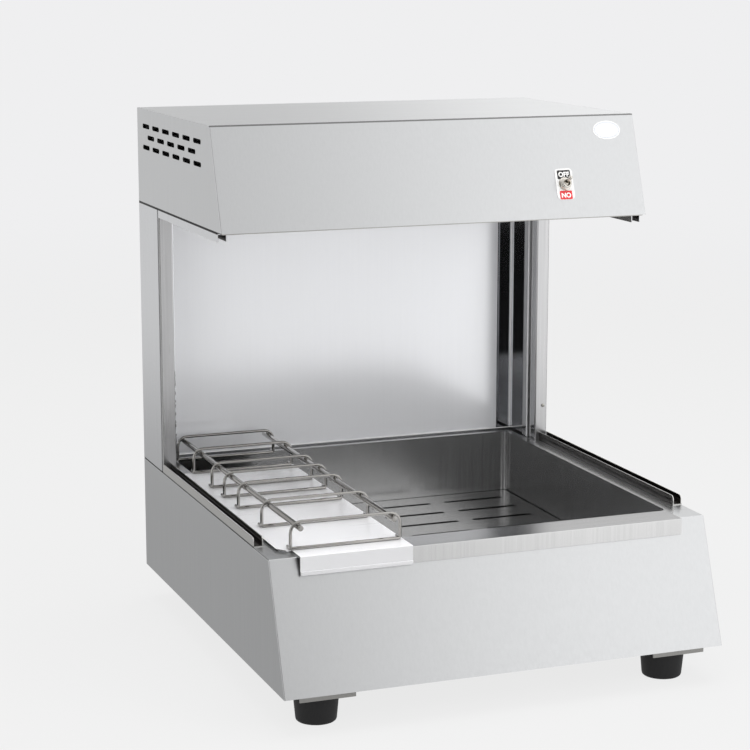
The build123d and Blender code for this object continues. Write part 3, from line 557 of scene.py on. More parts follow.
finishOf = {
    "satin_sheet": "satinStainless", "bright_sheet": "panStainless", "inner_sheet": "millStainless",
    "reflector_sheet": "brightAluminium", "wire": "polishedWire", "rubber": "blackRubber",
    "zinc_fasteners": "zincSteel", "nickel": "nickelPlate", "black_plastic": "blackNylon",
    "white_label": "whiteLabel", "quartz": "quartzGlass", "heater_wire": "oxidisedCoil",
    "ceramic": "ceramicBody",
}
ownFinish = {"back_wall": "wallStainless", "cup_shelf": "shelfStainless"}
for side in ("left", "right"):
    ownFinish[side + "_front_post"] = "brushedStainless"
    ownFinish[side + "_side_panel"] = "panelStainless"
    ownFinish[side + "_lower_glass_channel"] = "channelStainless"
    ownFinish[side + "_upper_glass_channel"] = "railStainless"
slotOf = {part["node"]: part["material_slot"] for part in frame["record"]["subparts"]}
for name, obj in nodes.items():
    obj.data.materials.clear()
    obj.data.materials.append(materials[ownFinish.get(name, finishOf[slotOf[name]])])
print("stage: materials on the frame")


hoopForm = {
    # mm: radius of the wire, bends at the toes and the top corners
    "wire": 2.0, "toeBend": 4.0, "bend": 13.0,
    # radius of a weld bead, and its place at a foot: in from the leg and up from its middle
    "bead": 1.45, "beadIn": 1.5, "beadUp": 1.2,
    "rodBead": 0.8,  # shares: size of the beads under a rod, and how far they sit beside the wire's middle
}
rodForm = {"edge": 0.7}  # mm


def bead(place, radius, scale=(1, 1, 0.7)):
    # a weld bead
    return primitive(
        "uv_sphere", segments=12, ring_count=8, radius=radius * mm, location=Vector(place) * mm, scale=scale,
    )


def ownName(start, name):
    # the name of a piece that stands for a node
    return start + name.title().replace("_", "")


def makeHoop(name):
    # one bent wire with a toe at each foot, and a straight wire welded between the feet
    low, high = boxOf(name)
    wire = hoopForm["wire"]
    left, right = low.x + wire, high.x - wire
    foot, top, y = low.z + wire, high.z - wire, low.y + wire
    toe, bend = hoopForm["toeBend"], hoopForm["bend"]
    moves = [
        ("run", high.y - y - toe), ("bend", (0, 0, 1), toe), ("run", top - foot - toe - bend),
        ("bend", (1, 0, 0), bend), ("run", right - left - 2 * bend), ("bend", (0, 0, -1), bend),
        ("run", top - foot - toe - bend), ("bend", (0, 1, 0), toe), ("run", high.y - y - toe),
    ]
    parts = [bentWire((left, high.y, foot), (0, -1, 0), wire, moves)]
    parts.append(bentWire((left, y, foot), (1, 0, 0), wire, [("run", right - left)]))
    share = hoopForm["rodBead"]
    for x, inward, rodName in ((left, 1, "left_rack_rod"), (right, -1, "right_rack_rod")):
        parts.append(bead((x + inward * hoopForm["beadIn"], y, foot + hoopForm["beadUp"]), hoopForm["bead"]))
        # the rod lies in the top corner, and its beads sit where it touches the bend
        rod = boxOf(rodName)
        middle = Vector(((rod[0].x + rod[1].x) / 2, y, (rod[0].z + rod[1].z) / 2))
        centre = Vector((x + inward * bend, y, top - bend))
        touch = centre + (middle - centre).normalized() * (bend - wire)
        for side in (-1, 1):
            parts.append(bead(touch + Vector((0, side * wire * share, 0)), hoopForm["bead"] * share))
    finished(joined(parts), ownName("bent", name), "cup_rack", "polishedWire", 60, [name])


def makeRackRod(name):
    # straight drawn rod with turned edges at its ends
    low, high = boxOf(name)
    radius = (high.x - low.x) / 2
    piece = primitive(
        "cylinder", vertices=28, radius=radius * mm, depth=(high.y - low.y) * mm,
        location=(low + high) / 2 * mm, rotation=(math.pi / 2, 0, 0),
    )
    pickEdges(piece, lambda middle, along: abs(along.y) < 0.5)
    bpy.ops.mesh.bevel(offset=rodForm["edge"] * mm, segments=3, affect="EDGES")
    finished(piece, ownName("drawn", name), "cup_rack", "polishedWire", 40, [name])


for number in range(1, 8):
    makeHoop("cup_hoop_%d" % number)
for name in ("left_rack_rod", "right_rack_rod"):
    makeRackRod(name)

hemForm = {
    # mm: left end of the apron, how far the hem's lower edge is below the pan, and how short its ends stop
    "left": -245.0, "below": 21.0, "short": 0.3,
    "height": 4.5, "stand": 0.5, "sunk": 0.1, "rounding": 0.2,
}


def makeApronHem():
    # the folded hem that shows along the bottom of the shelf's apron
    low, high = boxOf("cup_shelf")
    bottom = boxOf("chip_pan")[1].z - hemForm["below"]
    piece = bar(
        (hemForm["left"] + hemForm["short"], low.y - hemForm["stand"], bottom),
        (high.x - hemForm["short"], low.y + hemForm["sunk"], bottom + hemForm["height"]),
        hemForm["rounding"],
    )
    finished(piece, "apronHem", "cup_rack", "shelfStainless")


makeApronHem()
print("stage: cup rack")


footForm = {
    # mm: a cone with a rounded foot edge and a recess with a chamfered mouth for the screw's head
    "top": 28.0, "bottom": 24.0, "edge": 3.0, "topEdge": 0.6,
    "recess": 10.0, "recessDepth": 30.0, "mouth": 1.0, "hole": 4.5,
    # two moulded grooves: how far below the top, how deep, and half their width outside and inside
    "grooves": (9.0, 3.0), "depth": 0.5, "outside": 0.8, "inside": 0.3,
}


def makeFoot(name):
    low, high = boxOf(name)
    height, form = high.z, footForm

    def radiusAt(z):
        return form["bottom"] + (form["top"] - form["bottom"]) * z / height

    edge, depth, topEdge = form["edge"], form["depth"], form["topEdge"]
    rings = [
        (form["hole"], form["recessDepth"]), (form["recess"], form["recessDepth"]), (form["recess"], form["mouth"]),
        (form["recess"] + form["mouth"], 0.0), (radiusAt(0) - edge, 0.0),
    ]
    for part in (0.3, 0.6, 1.0):
        turn = part * math.pi / 2
        rings.append((radiusAt(edge) - edge + edge * math.sin(turn), edge - edge * math.cos(turn)))
    for down in form["grooves"]:
        z = height - down
        rings.append((radiusAt(z - form["outside"]), z - form["outside"]))
        rings += [(radiusAt(z) - depth, z - form["inside"]), (radiusAt(z) - depth, z + form["inside"])]
        rings.append((radiusAt(z + form["outside"]), z + form["outside"]))
    rings += [(radiusAt(height - topEdge), height - topEdge), (radiusAt(height) - topEdge, height)]
    rings.append((form["hole"], height))
    piece = turned(rings, sides=56, closed=True)
    placed(piece, ((low.x + high.x) / 2, (low.y + high.y) / 2, 0))
    finished(piece, ownName("moulded", name), "cabinet", "blackRubber", 40, [name])


for name in ("front_left_foot", "front_right_foot", "rear_left_foot", "rear_right_foot"):
    makeFoot(name)
print("stage: feet")


seams = {
    # low and high corner in mm of each bar on the right side, rounding in mm, slot, finish; the left side gets the
    # mirror image. Black bars painted as the shadow in the deck and hood seams and grey sealant in the post seam
    # come first, then pale bars painted as the highlights of the folded sheet's edges beside the back wall
    "deckSeam": ((278.6, -189.5, 194.1), (279.95, 297.0, 195.15), 0.3, "black_plastic", "seamShadow"),
    "hoodSeam": ((277.2, -58.0, 544.6), (279.9, 297.0, 545.9), 0.2, "black_plastic", "seamShadow"),
    "postSeam": ((278.05, 202.5, 195.3), (278.95, 206.8, 544.0), 0.2, "inner_sheet", "greySealant"),
    # painted highlights: pale bars along the folds beside the back wall
    "cornerFold": ((257.6, 281.8, 200.5), (259.6, 283.9, 543.5), 0.25, "satin_sheet", "brightFold"),
    "jogFold": ((257.5, 223.0, 196.9), (259.3, 224.5, 544.0), 0.25, "satin_sheet", "brightFold"),
}
strips = {
    # mm: the two walls, the two ends, the floor and the lip of each glass channel, lined with thin black strips as
    # painted shade
    "lowerStrip": ((269.0, 279.0), (-189.6, 201.5), 196.0, 202.0),
    "upperStrip": ((269.0, 279.0), (-61.6, 201.5), 543.5, 535.5),
}
stripForm = {"thickness": 0.4, "floorEdge": 0.1, "wallEdge": 0.15}  # mm


def bothSides(piece):
    return joined([piece, copied(piece, mirrored=True)])


def makeSeams():
    for name, (low, high, rounding, slot, material) in seams.items():
        finished(bothSides(bar(low, high, rounding)), name + "s", "cabinet", material)


def makeStrips():
    thick = stripForm["thickness"]
    for name, (x, y, floor, lip) in strips.items():
        up = 1 if lip > floor else -1
        z = sorted((floor, floor + up * thick))
        parts = [bar((x[0], y[0], z[0]), (x[1], y[1], z[1]), stripForm["floorEdge"])]
        wallZ = sorted((floor, lip))
        for wall in ((x[0], x[0] + thick), (x[1] - thick, x[1])):
            parts.append(bar((wall[0], y[0], wallZ[0]), (wall[1], y[1], wallZ[1]), stripForm["wallEdge"]))
        finished(bothSides(joined(parts)), name + "s", "cabinet", "glazingRubber")


makeSeams()
makeStrips()
print("stage: seams and strips")


# the leaning front of the hood: how far it leans back over its height, and where its lower edge is, in mm
hoodFront = {"back": 43, "rise": 124, "y": -78, "z": 546}
hoodLean = math.atan2(hoodFront["back"], hoodFront["rise"])
frontNormal = Vector((0, -math.cos(hoodLean), math.sin(hoodLean)))
frontUp = Vector((0, math.sin(hoodLean), math.cos(hoodLean)))


def onFront(x, z, lift=0.0):
    # a point in mm on the hood's outer front face, or above it
    y = hoodFront["y"] + hoodFront["back"] * (z - hoodFront["z"]) / hoodFront["rise"]
    return Vector((x, y, z)) + frontNormal * lift


def onFrontTurned(piece, place):
    # lays a flat mesh, made at the origin with its top along Y, onto the front
    objectMode(piece)
    piece.rotation_euler = (math.pi / 2 - hoodLean, 0, 0)
    piece.location = place * mm
    applyPlace()
    return piece


switchForm = {
    # mm; heights are above the hood's front
    "x": 172.5, "z": 587.0,
    "label": {"size": (24.0, 39.8), "corner": 5.0, "thickness": 0.6, "hole": 6.2, "holeDepth": 4.0},
    # threaded bushing, with a bore that the lever stands in; it starts behind the front
    "bushing": {"bore": 3.95, "from": -0.9, "crest": 6.0, "root": 5.45, "pitch": 0.9, "thread": (3.9, 8.6),
                "mouth": [(5.3, 9.0), (4.3, 9.0), (3.95, 8.6)]},
    "housing": {"size": (16, 30), "corner": 0.8, "depth": 23.9, "behind": 24.95},
    "washer": [(6.1, 0.6), (8.5, 0.6), (8.5, 1.3), (8.2, 1.6), (6.1, 1.6)],
    "nut": {"flats": 14, "low": 1.6, "high": 3.8, "bore": 6.1, "chamfer": 0.55},
    # bat lever in its OFF place: its pivot, its tilt in degrees up from the front's normal, its ball and its stem
    "lever": {"pivot": 4.0, "tilt": 15, "ball": 3.6, "tip": (2.7, 15.3),
              "stem": [(1.7, 2.6), (1.75, 6.0), (2.25, 11.0), (2.6, 14.2), (2.7, 15.3)]},
}
blocks = {
    # mm: up from the switch's middle, width and height; cap height of the letters, and their turn in degrees
    "off": {"word": "OFF", "up": 12.0, "size": (18.0, 11.4), "letters": 6.15, "turn": 0, "ink": "blackPrint"},
    "on": {"word": "ON", "up": -14.0, "size": (17.0, 11.0), "letters": 6.15, "turn": 180, "ink": "redPrint"},
}
inkForm = {"thickness": 0.12, "corner": 1.2}  # mm
letterForm = {"thickness": 0.08, "sizeOfCap": 1.35, "bolder": 0.05}  # mm, and shares of the cap height


def flatTablet(width, height, corner, thickness):
    # a thin rounded tablet at the origin, standing up from z = 0
    piece = primitive("plane", size=1, scale=(width * mm, height * mm, 1))
    editAll()
    bpy.ops.mesh.bevel(offset=corner * mm, segments=5, affect="VERTICES")
    bpy.ops.mesh.select_all(action="SELECT")
    extrude((0, 0, thickness * mm))
    objectMode(piece)
    return piece


def letters(word, height, turn):
    # a flat word, its middle at the origin
    bpy.ops.object.select_all(action="DESELECT")
    bpy.ops.object.text_add(location=(0, 0, 0))
    text = bpy.context.object
    text.data.body = word
    text.data.size = height * mm * letterForm["sizeOfCap"]
    text.data.offset = height * mm * letterForm["bolder"]
    text.data.extrude = letterForm["thickness"] / 2 * mm
    text.data.align_x, text.data.align_y = "CENTER", "CENTER"
    bpy.ops.object.convert(target="MESH")
    text = bpy.context.object
    text.rotation_euler = (0, 0, math.radians(turn))
    applyPlace()
    return text


def makeLabel():
    x, z, form = switchForm["x"], switchForm["z"], switchForm["label"]
    label = flatTablet(*form["size"], form["corner"], form["thickness"])
    cutBy(label, primitive("cylinder", vertices=40, radius=form["hole"] * mm, depth=form["holeDepth"] * mm))
    onFrontTurned(label, onFront(x, z))
    finished(label, "roundedLabel", "cabinet", "whiteLabel", stands=["switch_plate"])
    for name, facts in blocks.items():
        place = onFront(x, z, form["thickness"]) + frontUp * facts["up"]
        tablet = onFrontTurned(flatTablet(*facts["size"], inkForm["corner"], inkForm["thickness"]), place)
        finished(tablet, name + "Block", "cabinet", facts["ink"])
        lift = inkForm["thickness"] + letterForm["thickness"] / 2
        word = onFrontTurned(letters(facts["word"], facts["letters"], facts["turn"]), place + frontNormal * lift)
        finished(word, name + "Letters", "cabinet", "whitePrint")


def makeSwitch():
    x, z = switchForm["x"], switchForm["z"]
    form = switchForm["bushing"]
    height, top = form["thread"]
    rings = [(form["bore"], form["from"]), (form["crest"], form["from"]), (form["crest"], height)]
    while height + form["pitch"] < top:
        rings += [(form["root"], height + form["pitch"] / 2), (form["crest"], height + form["pitch"])]
        height += form["pitch"]
    bushing = placed(turned(rings + form["mouth"], closed=True), onFront(x, z), frontNormal)
    finished(bushing, "switchBushing", "cabinet", "nickelPlate", 25)

    form = switchForm["housing"]
    housing = flatTablet(*form["size"], form["corner"], form["depth"])
    onFrontTurned(housing, onFront(x, z, -form["behind"]))
    finished(housing, "switchHousing", "cabinet", "blackNylon", stands=["switch_body"])

    form = switchForm["nut"]
    washer = turned(switchForm["washer"], 36, closed=True)
    nut = hexagon(form["flats"], form["low"], form["high"], form["bore"], form["chamfer"])
    both = placed(joined([washer, nut]), onFront(x, z), frontNormal)
    finished(both, "switchNut", "cabinet", "nickelPlate", 25, ["switch_nut"])

    form = switchForm["lever"]
    rise = hoodLean + math.radians(form["tilt"])
    along = Vector((0, -math.cos(rise), math.sin(rise)))
    rings = []
    for step in range(1, 8):
        turn = step * math.pi / 10
        rings.append((form["ball"] * math.sin(turn), -form["ball"] * math.cos(turn)))
    rings += form["stem"]
    radius, height = form["tip"]
    for part in (0.25, 0.5, 0.75, 0.95):
        turn = part * math.pi / 2
        rings.append((radius * math.cos(turn), height + radius * math.sin(turn)))
    lever = placed(turned(rings, 24), onFront(x, z, form["pivot"]), along)
    finished(lever, "batLever", "toggle", "nickelPlate", 40, ["toggle_lever"])


makeLabel()
makeSwitch()

stickerForm = {
    # mm: a bare oval with a pale printed border, set in from its edge
    "x": 240.3, "z": 650.8, "width": 38.0, "height": 24.0, "thickness": 0.25,
    "inset": 1.2, "rim": 1.6, "ink": 0.04,
}


def ovalRing(width, height, rim, thickness):
    # an oval tablet, or with a rim width only its border
    piece = primitive("circle", vertices=56, radius=0.5, fill_type="NGON", scale=(width * mm, height * mm, 1))
    editAll()
    if rim:
        bpy.ops.mesh.inset(thickness=rim * mm)
        bpy.ops.mesh.delete(type="FACE")
        bpy.ops.mesh.select_all(action="SELECT")
    extrude((0, 0, thickness * mm))
    objectMode(piece)
    return piece


def makeSticker():
    form = stickerForm
    place = onFront(form["x"], form["z"])
    pad = ovalRing(form["width"], form["height"], 0, form["thickness"])
    finished(onFrontTurned(pad, place), "ovalSticker", "cabinet", "whiteLabel")
    less = 2 * form["inset"]
    rim = ovalRing(form["width"] - less, form["height"] - less, form["rim"], form["ink"])
    onFrontTurned(rim, place + frontNormal * form["thickness"])
    finished(rim, "stickerBorder", "cabinet", "stickerRim")


makeSticker()
print("stage: switch and sticker")


screwForm = {
    # the head's outline as shares of its radius and height, then the recess: width, length and rounding as shares
    # of the radius or of the width, and depth as a share of the height
    "outline": [(1.0, 0.0), (1.0, 0.45), (0.93, 0.72), (0.72, 0.93), (0.4, 1.0)],
    "cross": (0.26, 1.15), "crossEdge": 0.2, "crossDepth": 0.55,
    "shank": 1.55, "sunk": 0.1, "tip": 1.0, "tipLength": 0.6,  # mm
}
postScrew = {"face": 202.0}  # mm: the strip that its head stands on
rearScrews = {
    # mm: both sides, the sheet's face, radius and height of the head, length of the shank, and each height
    "x": 274.0, "face": 298.5, "head": (3.49, 1.5), "length": 5.0, "heights": (69.0, 188.0, 219.0, 432.5, 646.0),
}


def screw(radius, height, length):
    # a pan head with a cross recess on z = 0, and its shank below
    form = screwForm
    head = turned([(radius * out, height * up) for out, up in form["outline"]], 28)
    width, reach = (radius * share for share in form["cross"])
    for size in ((width, reach), (reach, width)):
        cutter = primitive(
            "cube", size=1, location=(0, 0, height * mm),
            scale=(size[0] * mm, size[1] * mm, height * 2 * form["crossDepth"] * mm),
        )
        editAll()
        bpy.ops.mesh.bevel(offset=width * form["crossEdge"] * mm, segments=1, affect="EDGES")
        cutBy(head, cutter)
    rings = [(form["shank"], form["sunk"]), (form["shank"], form["tipLength"] - length), (form["tip"], -length)]
    return joined([head, turned(rings, 16)])


def makePostScrew():
    low, high = boxOf("post_screw")
    face = postScrew["face"]
    piece = screw((high.x - low.x) / 2, face - low.y, high.y - face)
    placed(piece, ((low.x + high.x) / 2, face, (low.z + high.z) / 2), (0, -1, 0))
    finished(piece, "crossPostScrew", "cabinet", "zincSteel", 30, ["post_screw"])


def makeRearScrews():
    # the same screw in every corner of the two rear sheets
    form = rearScrews
    lowest = form["heights"][0]
    first = placed(screw(*form["head"], form["length"]), (form["x"], form["face"], lowest), (0, 1, 0))
    every = [first] + [copied(first, (0, 0, height - lowest)) for height in form["heights"][1:]]
    every += [copied(piece, (-2 * form["x"], 0, 0)) for piece in list(every)]
    finished(joined(every), "crossRearScrews", "cabinet", "zincSteel", 30, ["rear_screws"])


makePostScrew()
makeRearScrews()
print("stage: fixings")


glandForm = {
    # mm along the gland from the floor of its recess: thread behind, hexagon and rounded cap in front
    "place": (-200.0, 267.5, 76.0), "bore": 4.0, "flats": 20.0, "hexagon": 6.0, "chamfer": 0.9, "mouth": 0.6,
    "thread": {"radius": 8.0, "root": 7.3, "from": -13.0, "pitch": 1.5, "to": 0.2},
    "cap": [(9.5, 6.0), (9.5, 9.5), (9.3, 11.5), (8.8, 14.5), (7.9, 17.4), (7.1, 19.2), (6.5, 20.0)],
    "nut": {"low": -6.0, "high": -1.0, "bore": 8.1, "chamfer": 0.7},
}


def makeGland():
    form, thread, nutForm = glandForm, glandForm["thread"], glandForm["nut"]
    height = thread["from"]
    rings = [(form["bore"], height), (thread["root"], height)]
    while height + thread["pitch"] <= 0:
        rings += [(thread["radius"], height + thread["pitch"] / 2), (thread["root"], height + thread["pitch"])]
        height += thread["pitch"]
    bore, end = form["bore"], form["cap"][-1][1]
    rings += [(thread["radius"], thread["to"])] + form["cap"]
    rings += [(bore + form["mouth"], end), (bore, end - form["mouth"])]
    body = turned(rings, 36, closed=True)
    head = hexagon(form["flats"], 0.0, form["hexagon"], bore, form["chamfer"])
    gland = placed(joined([body, head]), form["place"], (0, 1, 0))
    finished(gland, "domedCableGland", "cabinet", "blackNylon", 30, ["cable_gland"])
    nut = hexagon(form["flats"], nutForm["low"], nutForm["high"], nutForm["bore"], nutForm["chamfer"], True)
    placed(nut, form["place"], (0, 1, 0))
    finished(nut, "chamferedGlandNut", "cabinet", "blackNylon", 30, ["gland_nut"])


makeGland()
print("stage: cable gland")


heaterForm = {
    # mm: the axes of the two tubes, then the wound wire, the caps and the guard below
    "rows": (30.0, 110.0), "z": 574.0,
    "coil": {"end": 205.6, "radius": 2.15, "wire": 0.45, "sides": 6, "pitch": 2.4, "steps": 12},
    "capFrom": 202.0,
    "cap": [
        (7.1, 4.0), (7.1, 0.0), (8.4, 0.0), (9.0, 0.6), (9.0, 6.0), (8.3, 6.5), (8.3, 7.5), (9.0, 8.0),
        (9.0, 15.0), (8.3, 15.5), (8.3, 16.5), (9.0, 17.0), (9.0, 23.0), (8.2, 24.0), (2.0, 24.0),
        (2.0, 32.5), (1.6, 33.0),
    ],
    "guard": {"x": 208.0, "y": (-33.0, 173.0), "z": 542.5, "frame": 2.0, "bend": 12.0, "wire": 1.5, "wires": 7,
              "beadUp": 0.5, "beadScale": (1.3, 1, 0.9)},
}


def makeCoils():
    # resistance wire wound on a mandrel: a ring turned on along the tube
    coil = heaterForm["coil"]
    turns = int(2 * coil["end"] / coil["pitch"])
    parts = []
    for y in heaterForm["rows"]:
        ring = primitive(
            "circle", vertices=coil["sides"], radius=coil["wire"] * mm, location=(0, coil["radius"] * mm, 0),
        )
        change = ring.modifiers.new("turns", "SCREW")
        change.axis, change.angle, change.screw_offset = "X", 2 * math.pi, coil["pitch"] * mm
        change.iterations, change.steps, change.render_steps = turns, coil["steps"], coil["steps"]
        objectMode(ring)
        bpy.ops.object.modifier_apply(modifier="turns")
        editAll()
        bpy.ops.mesh.fill_holes(sides=0)
        objectMode(ring)
        along = [point.co.x for point in ring.data.vertices]
        middle = (min(along) + max(along)) / 2 / mm
        ring.data.transform(Matrix.Translation(Vector((-middle, y, heaterForm["z"])) * mm))
        parts.append(ring)
    finished(joined(parts), "woundHeaterCoils", "cabinet", "oxidisedCoil", 60, ["heater_coils"])


def makeCaps():
    caps = []
    for y in heaterForm["rows"]:
        cap = placed(turned(heaterForm["cap"], 36), (heaterForm["capFrom"], y, heaterForm["z"]), (1, 0, 0))
        caps += [cap, copied(cap, mirrored=True)]
    finished(joined(caps), "groovedEndCaps", "cabinet", "ceramicBody", 40, ["heater_end_caps"])


def makeGuard():
    # a bent frame of thick wire with straight thinner ones welded across
    guard = heaterForm["guard"]
    x, z, bend = guard["x"], guard["z"], guard["bend"]
    low, high = guard["y"]
    half, side, back = ("run", x - bend), ("run", high - low - 2 * bend), ("run", 2 * (x - bend))
    moves = [
        half, ("bend", (0, 1, 0), bend), side, ("bend", (-1, 0, 0), bend), back,
        ("bend", (0, -1, 0), bend), side, ("bend", (1, 0, 0), bend), half,
    ]
    parts = [bentWire((0, low, z), (1, 0, 0), guard["frame"], moves)]
    pitch = 2 * x / (guard["wires"] + 1)
    for step in range(1, guard["wires"] + 1):
        parts.append(bentWire((step * pitch - x, low, z), (0, 1, 0), guard["wire"], [("run", high - low)]))
        for y in (low, high):
            place = (step * pitch - x, y, z + guard["frame"] * guard["beadUp"])
            parts.append(bead(place, guard["wire"], guard["beadScale"]))
    finished(joined(parts), "weldedHeaterGuard", "cabinet", "polishedWire", 60, ["heater_guard"])


makeCoils()
makeCaps()
makeGuard()
print("stage: heater")


backdrop, white = colour("EFEFF0"), colour("FFFFFF")
floorLook = {
    "size": 24,  # m
    "shade": 0.075,  # how much of the floor's look is lit, and so carries the shadow
    "glow": 0.79,
    "blend": (1.6, 5.0),  # m from the middle, over which the floor runs into the backdrop
    "near": 0.45,  # what metal sees of the floor round the object
    "ahead": (0.86, 1.22),  # and in front of it, left and right
    "aheadFrom": (0.25, 0.90),  # m in front
    "across": (0.934, 0.356, 0.0),  # the way from left to right there
    "acrossFrom": (-0.28, 0.12),  # m
    "far": 0.30,  # added far away
    "farFrom": (1.0, 2.6),  # m
    "bounce": 0.8,  # what plain surfaces get back from the floor
}
room = {
    "level": (0.62, 1.12),  # what metal sees of the room, left and right
    "from": (-0.8, 0.6),  # along X of the direction of view
    "ceiling": (0.55, 0.75), "ceilingLevel": 1.25,  # past this height of view, metal sees this share of the room
    # the unlit room behind the camera: its direction, where it starts and ends, and its share
    "darkSide": {"towards": (-0.35, -0.92, 0.19), "from": (0.74, 0.94), "level": 0.20},
    "fill": 0.6,  # light on plain surfaces
}
panels = {
    # metres and degrees; a panel runs from one level to another along its width, slanted by a share of its height
    "frontPanel": {"place": (1.4, -1.75, 1.5), "size": (3.4, 2.8), "turn": 0,
                   "ramp": (0.05, 0.70), "slant": -0.2, "level": (0.75, 1.35)},
    "rearPanel": {"place": (0.3, 2.0, 1.80), "size": (7.0, 1.9), "turn": 0,
                  "ramp": (0.08, 0.80), "slant": -0.3, "level": (0.64, 1.20)},
    "leftPanel": {"place": (-2.0, -0.5, 1.0), "size": (2.2, 1.6), "turn": 90, "level": 1.1},
    # dark cards, for the dark lines in bright metal
    "frontCard": {"place": (-0.325, -1.15, 0.165), "size": (0.50, 0.33), "turn": -20.85, "level": 0.004},
    "rearCard": {"place": (1.25, 1.95, 0.35), "size": (1.3, 0.70), "turn": 0, "level": 0.10},
}
soft = "SMOOTHSTEP"


def seenPlain(tree):
    # 1 for the camera and for what shows through glass, and 1 for what metal mirrors
    path = node(tree, "LightPath")
    plain = node(tree, "Math", {0: path["Is Camera Ray"], 1: path["Is Transmission Ray"]}, operation="MAXIMUM")
    return plain[0], path["Is Glossy Ray"]


def mirroredFloor(tree, place, away):
    # how light the floor is where metal mirrors it: graded from left to right in front, and lighter far away
    near = floorLook["near"]
    aside = node(tree, "VectorMath", {0: place, 1: floorLook["across"]}, operation="DOT_PRODUCT")["Value"]
    ahead = between(aside, floorLook["acrossFrom"], floorLook["ahead"])
    ahead = node(tree, "MapRange", ahead, interpolation_type=soft)["Result"]
    forward = node(tree, "VectorMath", {0: place, 1: (0.0, -1.0, 0.0)}, operation="DOT_PRODUCT")["Value"]
    share = between(forward, floorLook["aheadFrom"], (0.0, 1.0))
    share = node(tree, "MapRange", share, interpolation_type=soft)["Result"]
    front = node(tree, "Mix", {0: share, 2: near, 3: ahead})[0]
    rear = between(away, floorLook["farFrom"], (near, near + floorLook["far"]))
    rear = node(tree, "MapRange", rear, interpolation_type=soft)["Result"]
    return node(tree, "Math", {0: front, 1: rear}, operation="MAXIMUM")[0]


def buildFloor():
    # pale and plain to the camera with the object's soft shadow, softly graded where metal mirrors it
    floor = primitive("plane", size=floorLook["size"])
    floor.name = "floor"
    material, tree = newMaterial("studioFloor")
    seen, glossy = seenPlain(tree)
    place = node(tree, "TexCoord")["Object"]
    away = node(tree, "VectorMath", {0: place}, operation="LENGTH")["Value"]
    shade = node(tree, "BsdfDiffuse", {"Color": grey(floorLook["shade"])})["BSDF"]
    glow = node(tree, "Emission", {"Color": white, "Strength": floorLook["glow"]})["Emission"]
    near = node(tree, "AddShader", {0: shade, 1: glow})["Shader"]
    far = node(tree, "Emission", {"Color": backdrop, "Strength": 1.0})["Emission"]
    blend = node(tree, "MapRange", between(away, floorLook["blend"], (0.0, 1.0)), interpolation_type=soft)
    plain = node(tree, "MixShader", {0: blend["Result"], 1: near, 2: far})["Shader"]
    strength = mirroredFloor(tree, place, away)
    mirrored = node(tree, "Emission", {"Color": white, "Strength": strength})["Emission"]
    lit = node(tree, "BsdfDiffuse", {"Color": grey(floorLook["bounce"])})["BSDF"]
    other = node(tree, "MixShader", {0: glossy, 1: lit, 2: mirrored})["Shader"]
    both = node(tree, "MixShader", {0: seen, 1: other, 2: plain})["Shader"]
    node(tree, "OutputMaterial", {"Surface": both})
    floor.data.materials.append(material)


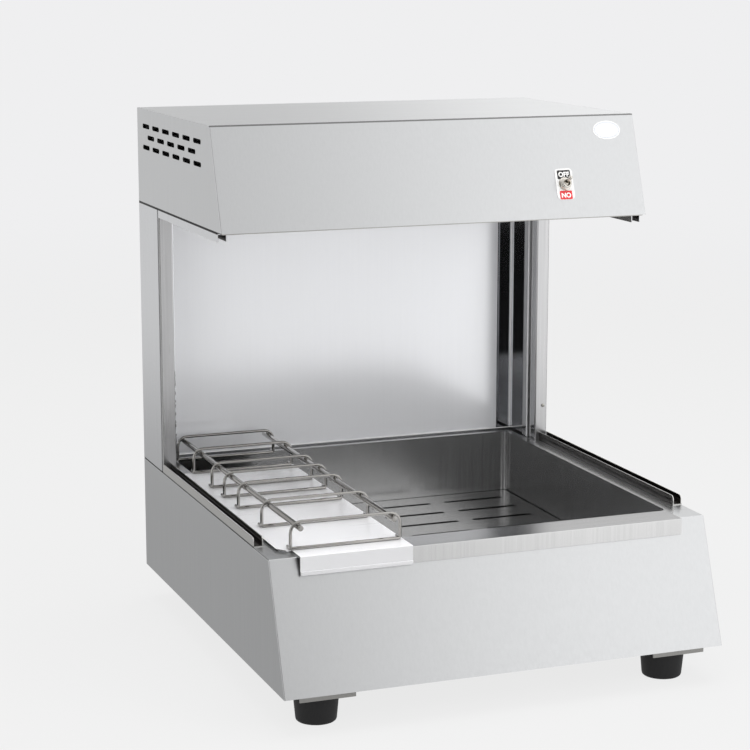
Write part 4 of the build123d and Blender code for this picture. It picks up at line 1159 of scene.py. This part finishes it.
def buildRoom():
    # the backdrop for the camera, a graded room for metal, and plain light for the rest
    world = bpy.data.worlds.new("studio")
    bpy.context.scene.world = world
    world.use_nodes = True
    tree = world.node_tree
    tree.nodes.clear()
    seen, glossy = seenPlain(tree)
    view = node(tree, "TexCoord")["Generated"]
    way = node(tree, "SeparateXYZ", {"Vector": view})
    dark = room["darkSide"]
    behind = node(tree, "VectorMath", {0: view, 1: dark["towards"]}, operation="DOT_PRODUCT")["Value"]
    graded = node(tree, "MapRange", between(way["X"], room["from"], room["level"]), interpolation_type=soft)
    share = node(tree, "MapRange", between(behind, dark["from"], (1.0, dark["level"])), interpolation_type=soft)
    above = between(way["Z"], room["ceiling"], (1.0, room["ceilingLevel"]))
    above = node(tree, "MapRange", above, interpolation_type=soft)
    lower = node(tree, "Math", {0: graded["Result"], 1: share["Result"]}, operation="MULTIPLY")
    whole = node(tree, "Math", {0: lower[0], 1: above["Result"]}, operation="MULTIPLY")
    lit = node(tree, "MixRGB", {"Fac": glossy, "Color1": grey(room["fill"]), "Color2": whole[0]})
    final = node(tree, "MixRGB", {"Fac": seen, "Color1": lit["Color"], "Color2": backdrop})
    back = node(tree, "Background", {"Color": final["Color"], "Strength": 1.0})
    node(tree, "OutputWorld", {"Surface": back["Background"]})


def standPanel(name):
    # an upright panel that only metal mirrors
    facts = panels[name]
    panel = primitive(
        "plane", size=1, location=facts["place"], rotation=(math.pi / 2, 0, math.radians(facts["turn"])),
        scale=(*facts["size"], 1),
    )
    panel.name = name
    for way in ("camera", "diffuse", "transmission", "volume_scatter", "shadow"):
        setattr(panel, "visible_" + way, False)
    material, tree = newMaterial(name)
    level = facts["level"]
    if "ramp" in facts:
        place = node(tree, "TexCoord")["Object"]
        slanted = node(tree, "VectorMath", {0: place, 1: (1.0, 0.0, facts["slant"])}, operation="DOT_PRODUCT")
        graded = between(slanted["Value"], facts["ramp"], level)
        level = node(tree, "MapRange", graded, interpolation_type=soft)["Result"]
    shader = node(tree, "Emission", {"Color": white, "Strength": level})["Emission"]
    node(tree, "OutputMaterial", {"Surface": shader})
    panel.data.materials.append(material)


lamps = {
    # place in metres, aim in metres, size in metres, power in watts
    "keyRight": ((1.3, -1.9, 1.45), (0.1, -0.1, 0.35), (1.2, 1.2), 18),
    "topSoft": ((0.2, 0.1, 2.4), (0, 0, 0.3), (2.2, 2.2), 40),
    "bayFront": ((-0.1, -2.3, 0.75), (0, 0.28, 0.33), (0.9, 0.4), 6.5),
    "fillLeft": ((-2.0, -1.6, 1.2), (0, 0, 0.3), (1.6, 1.6), 14),
}


def addLamps():
    # soft lamps for the plain surfaces; metal mirrors the room and the panels instead
    for name, (place, aim, size, power) in lamps.items():
        data = bpy.data.lights.new(name, "AREA")
        data.shape = "RECTANGLE"
        data.size, data.size_y = size
        data.energy = power
        lamp = bpy.data.objects.new(name, data)
        lamp.location = place
        lamp.rotation_euler = (Vector(place) - Vector(aim)).to_track_quat("Z", "Y").to_euler()
        lamp.visible_glossy = False
        bpy.context.scene.collection.objects.link(lamp)


buildFloor()
buildRoom()
for name in panels:
    standPanel(name)
addLamps()
bpy.context.scene.view_settings.view_transform = "Standard"
print("stage: studio and lamps")
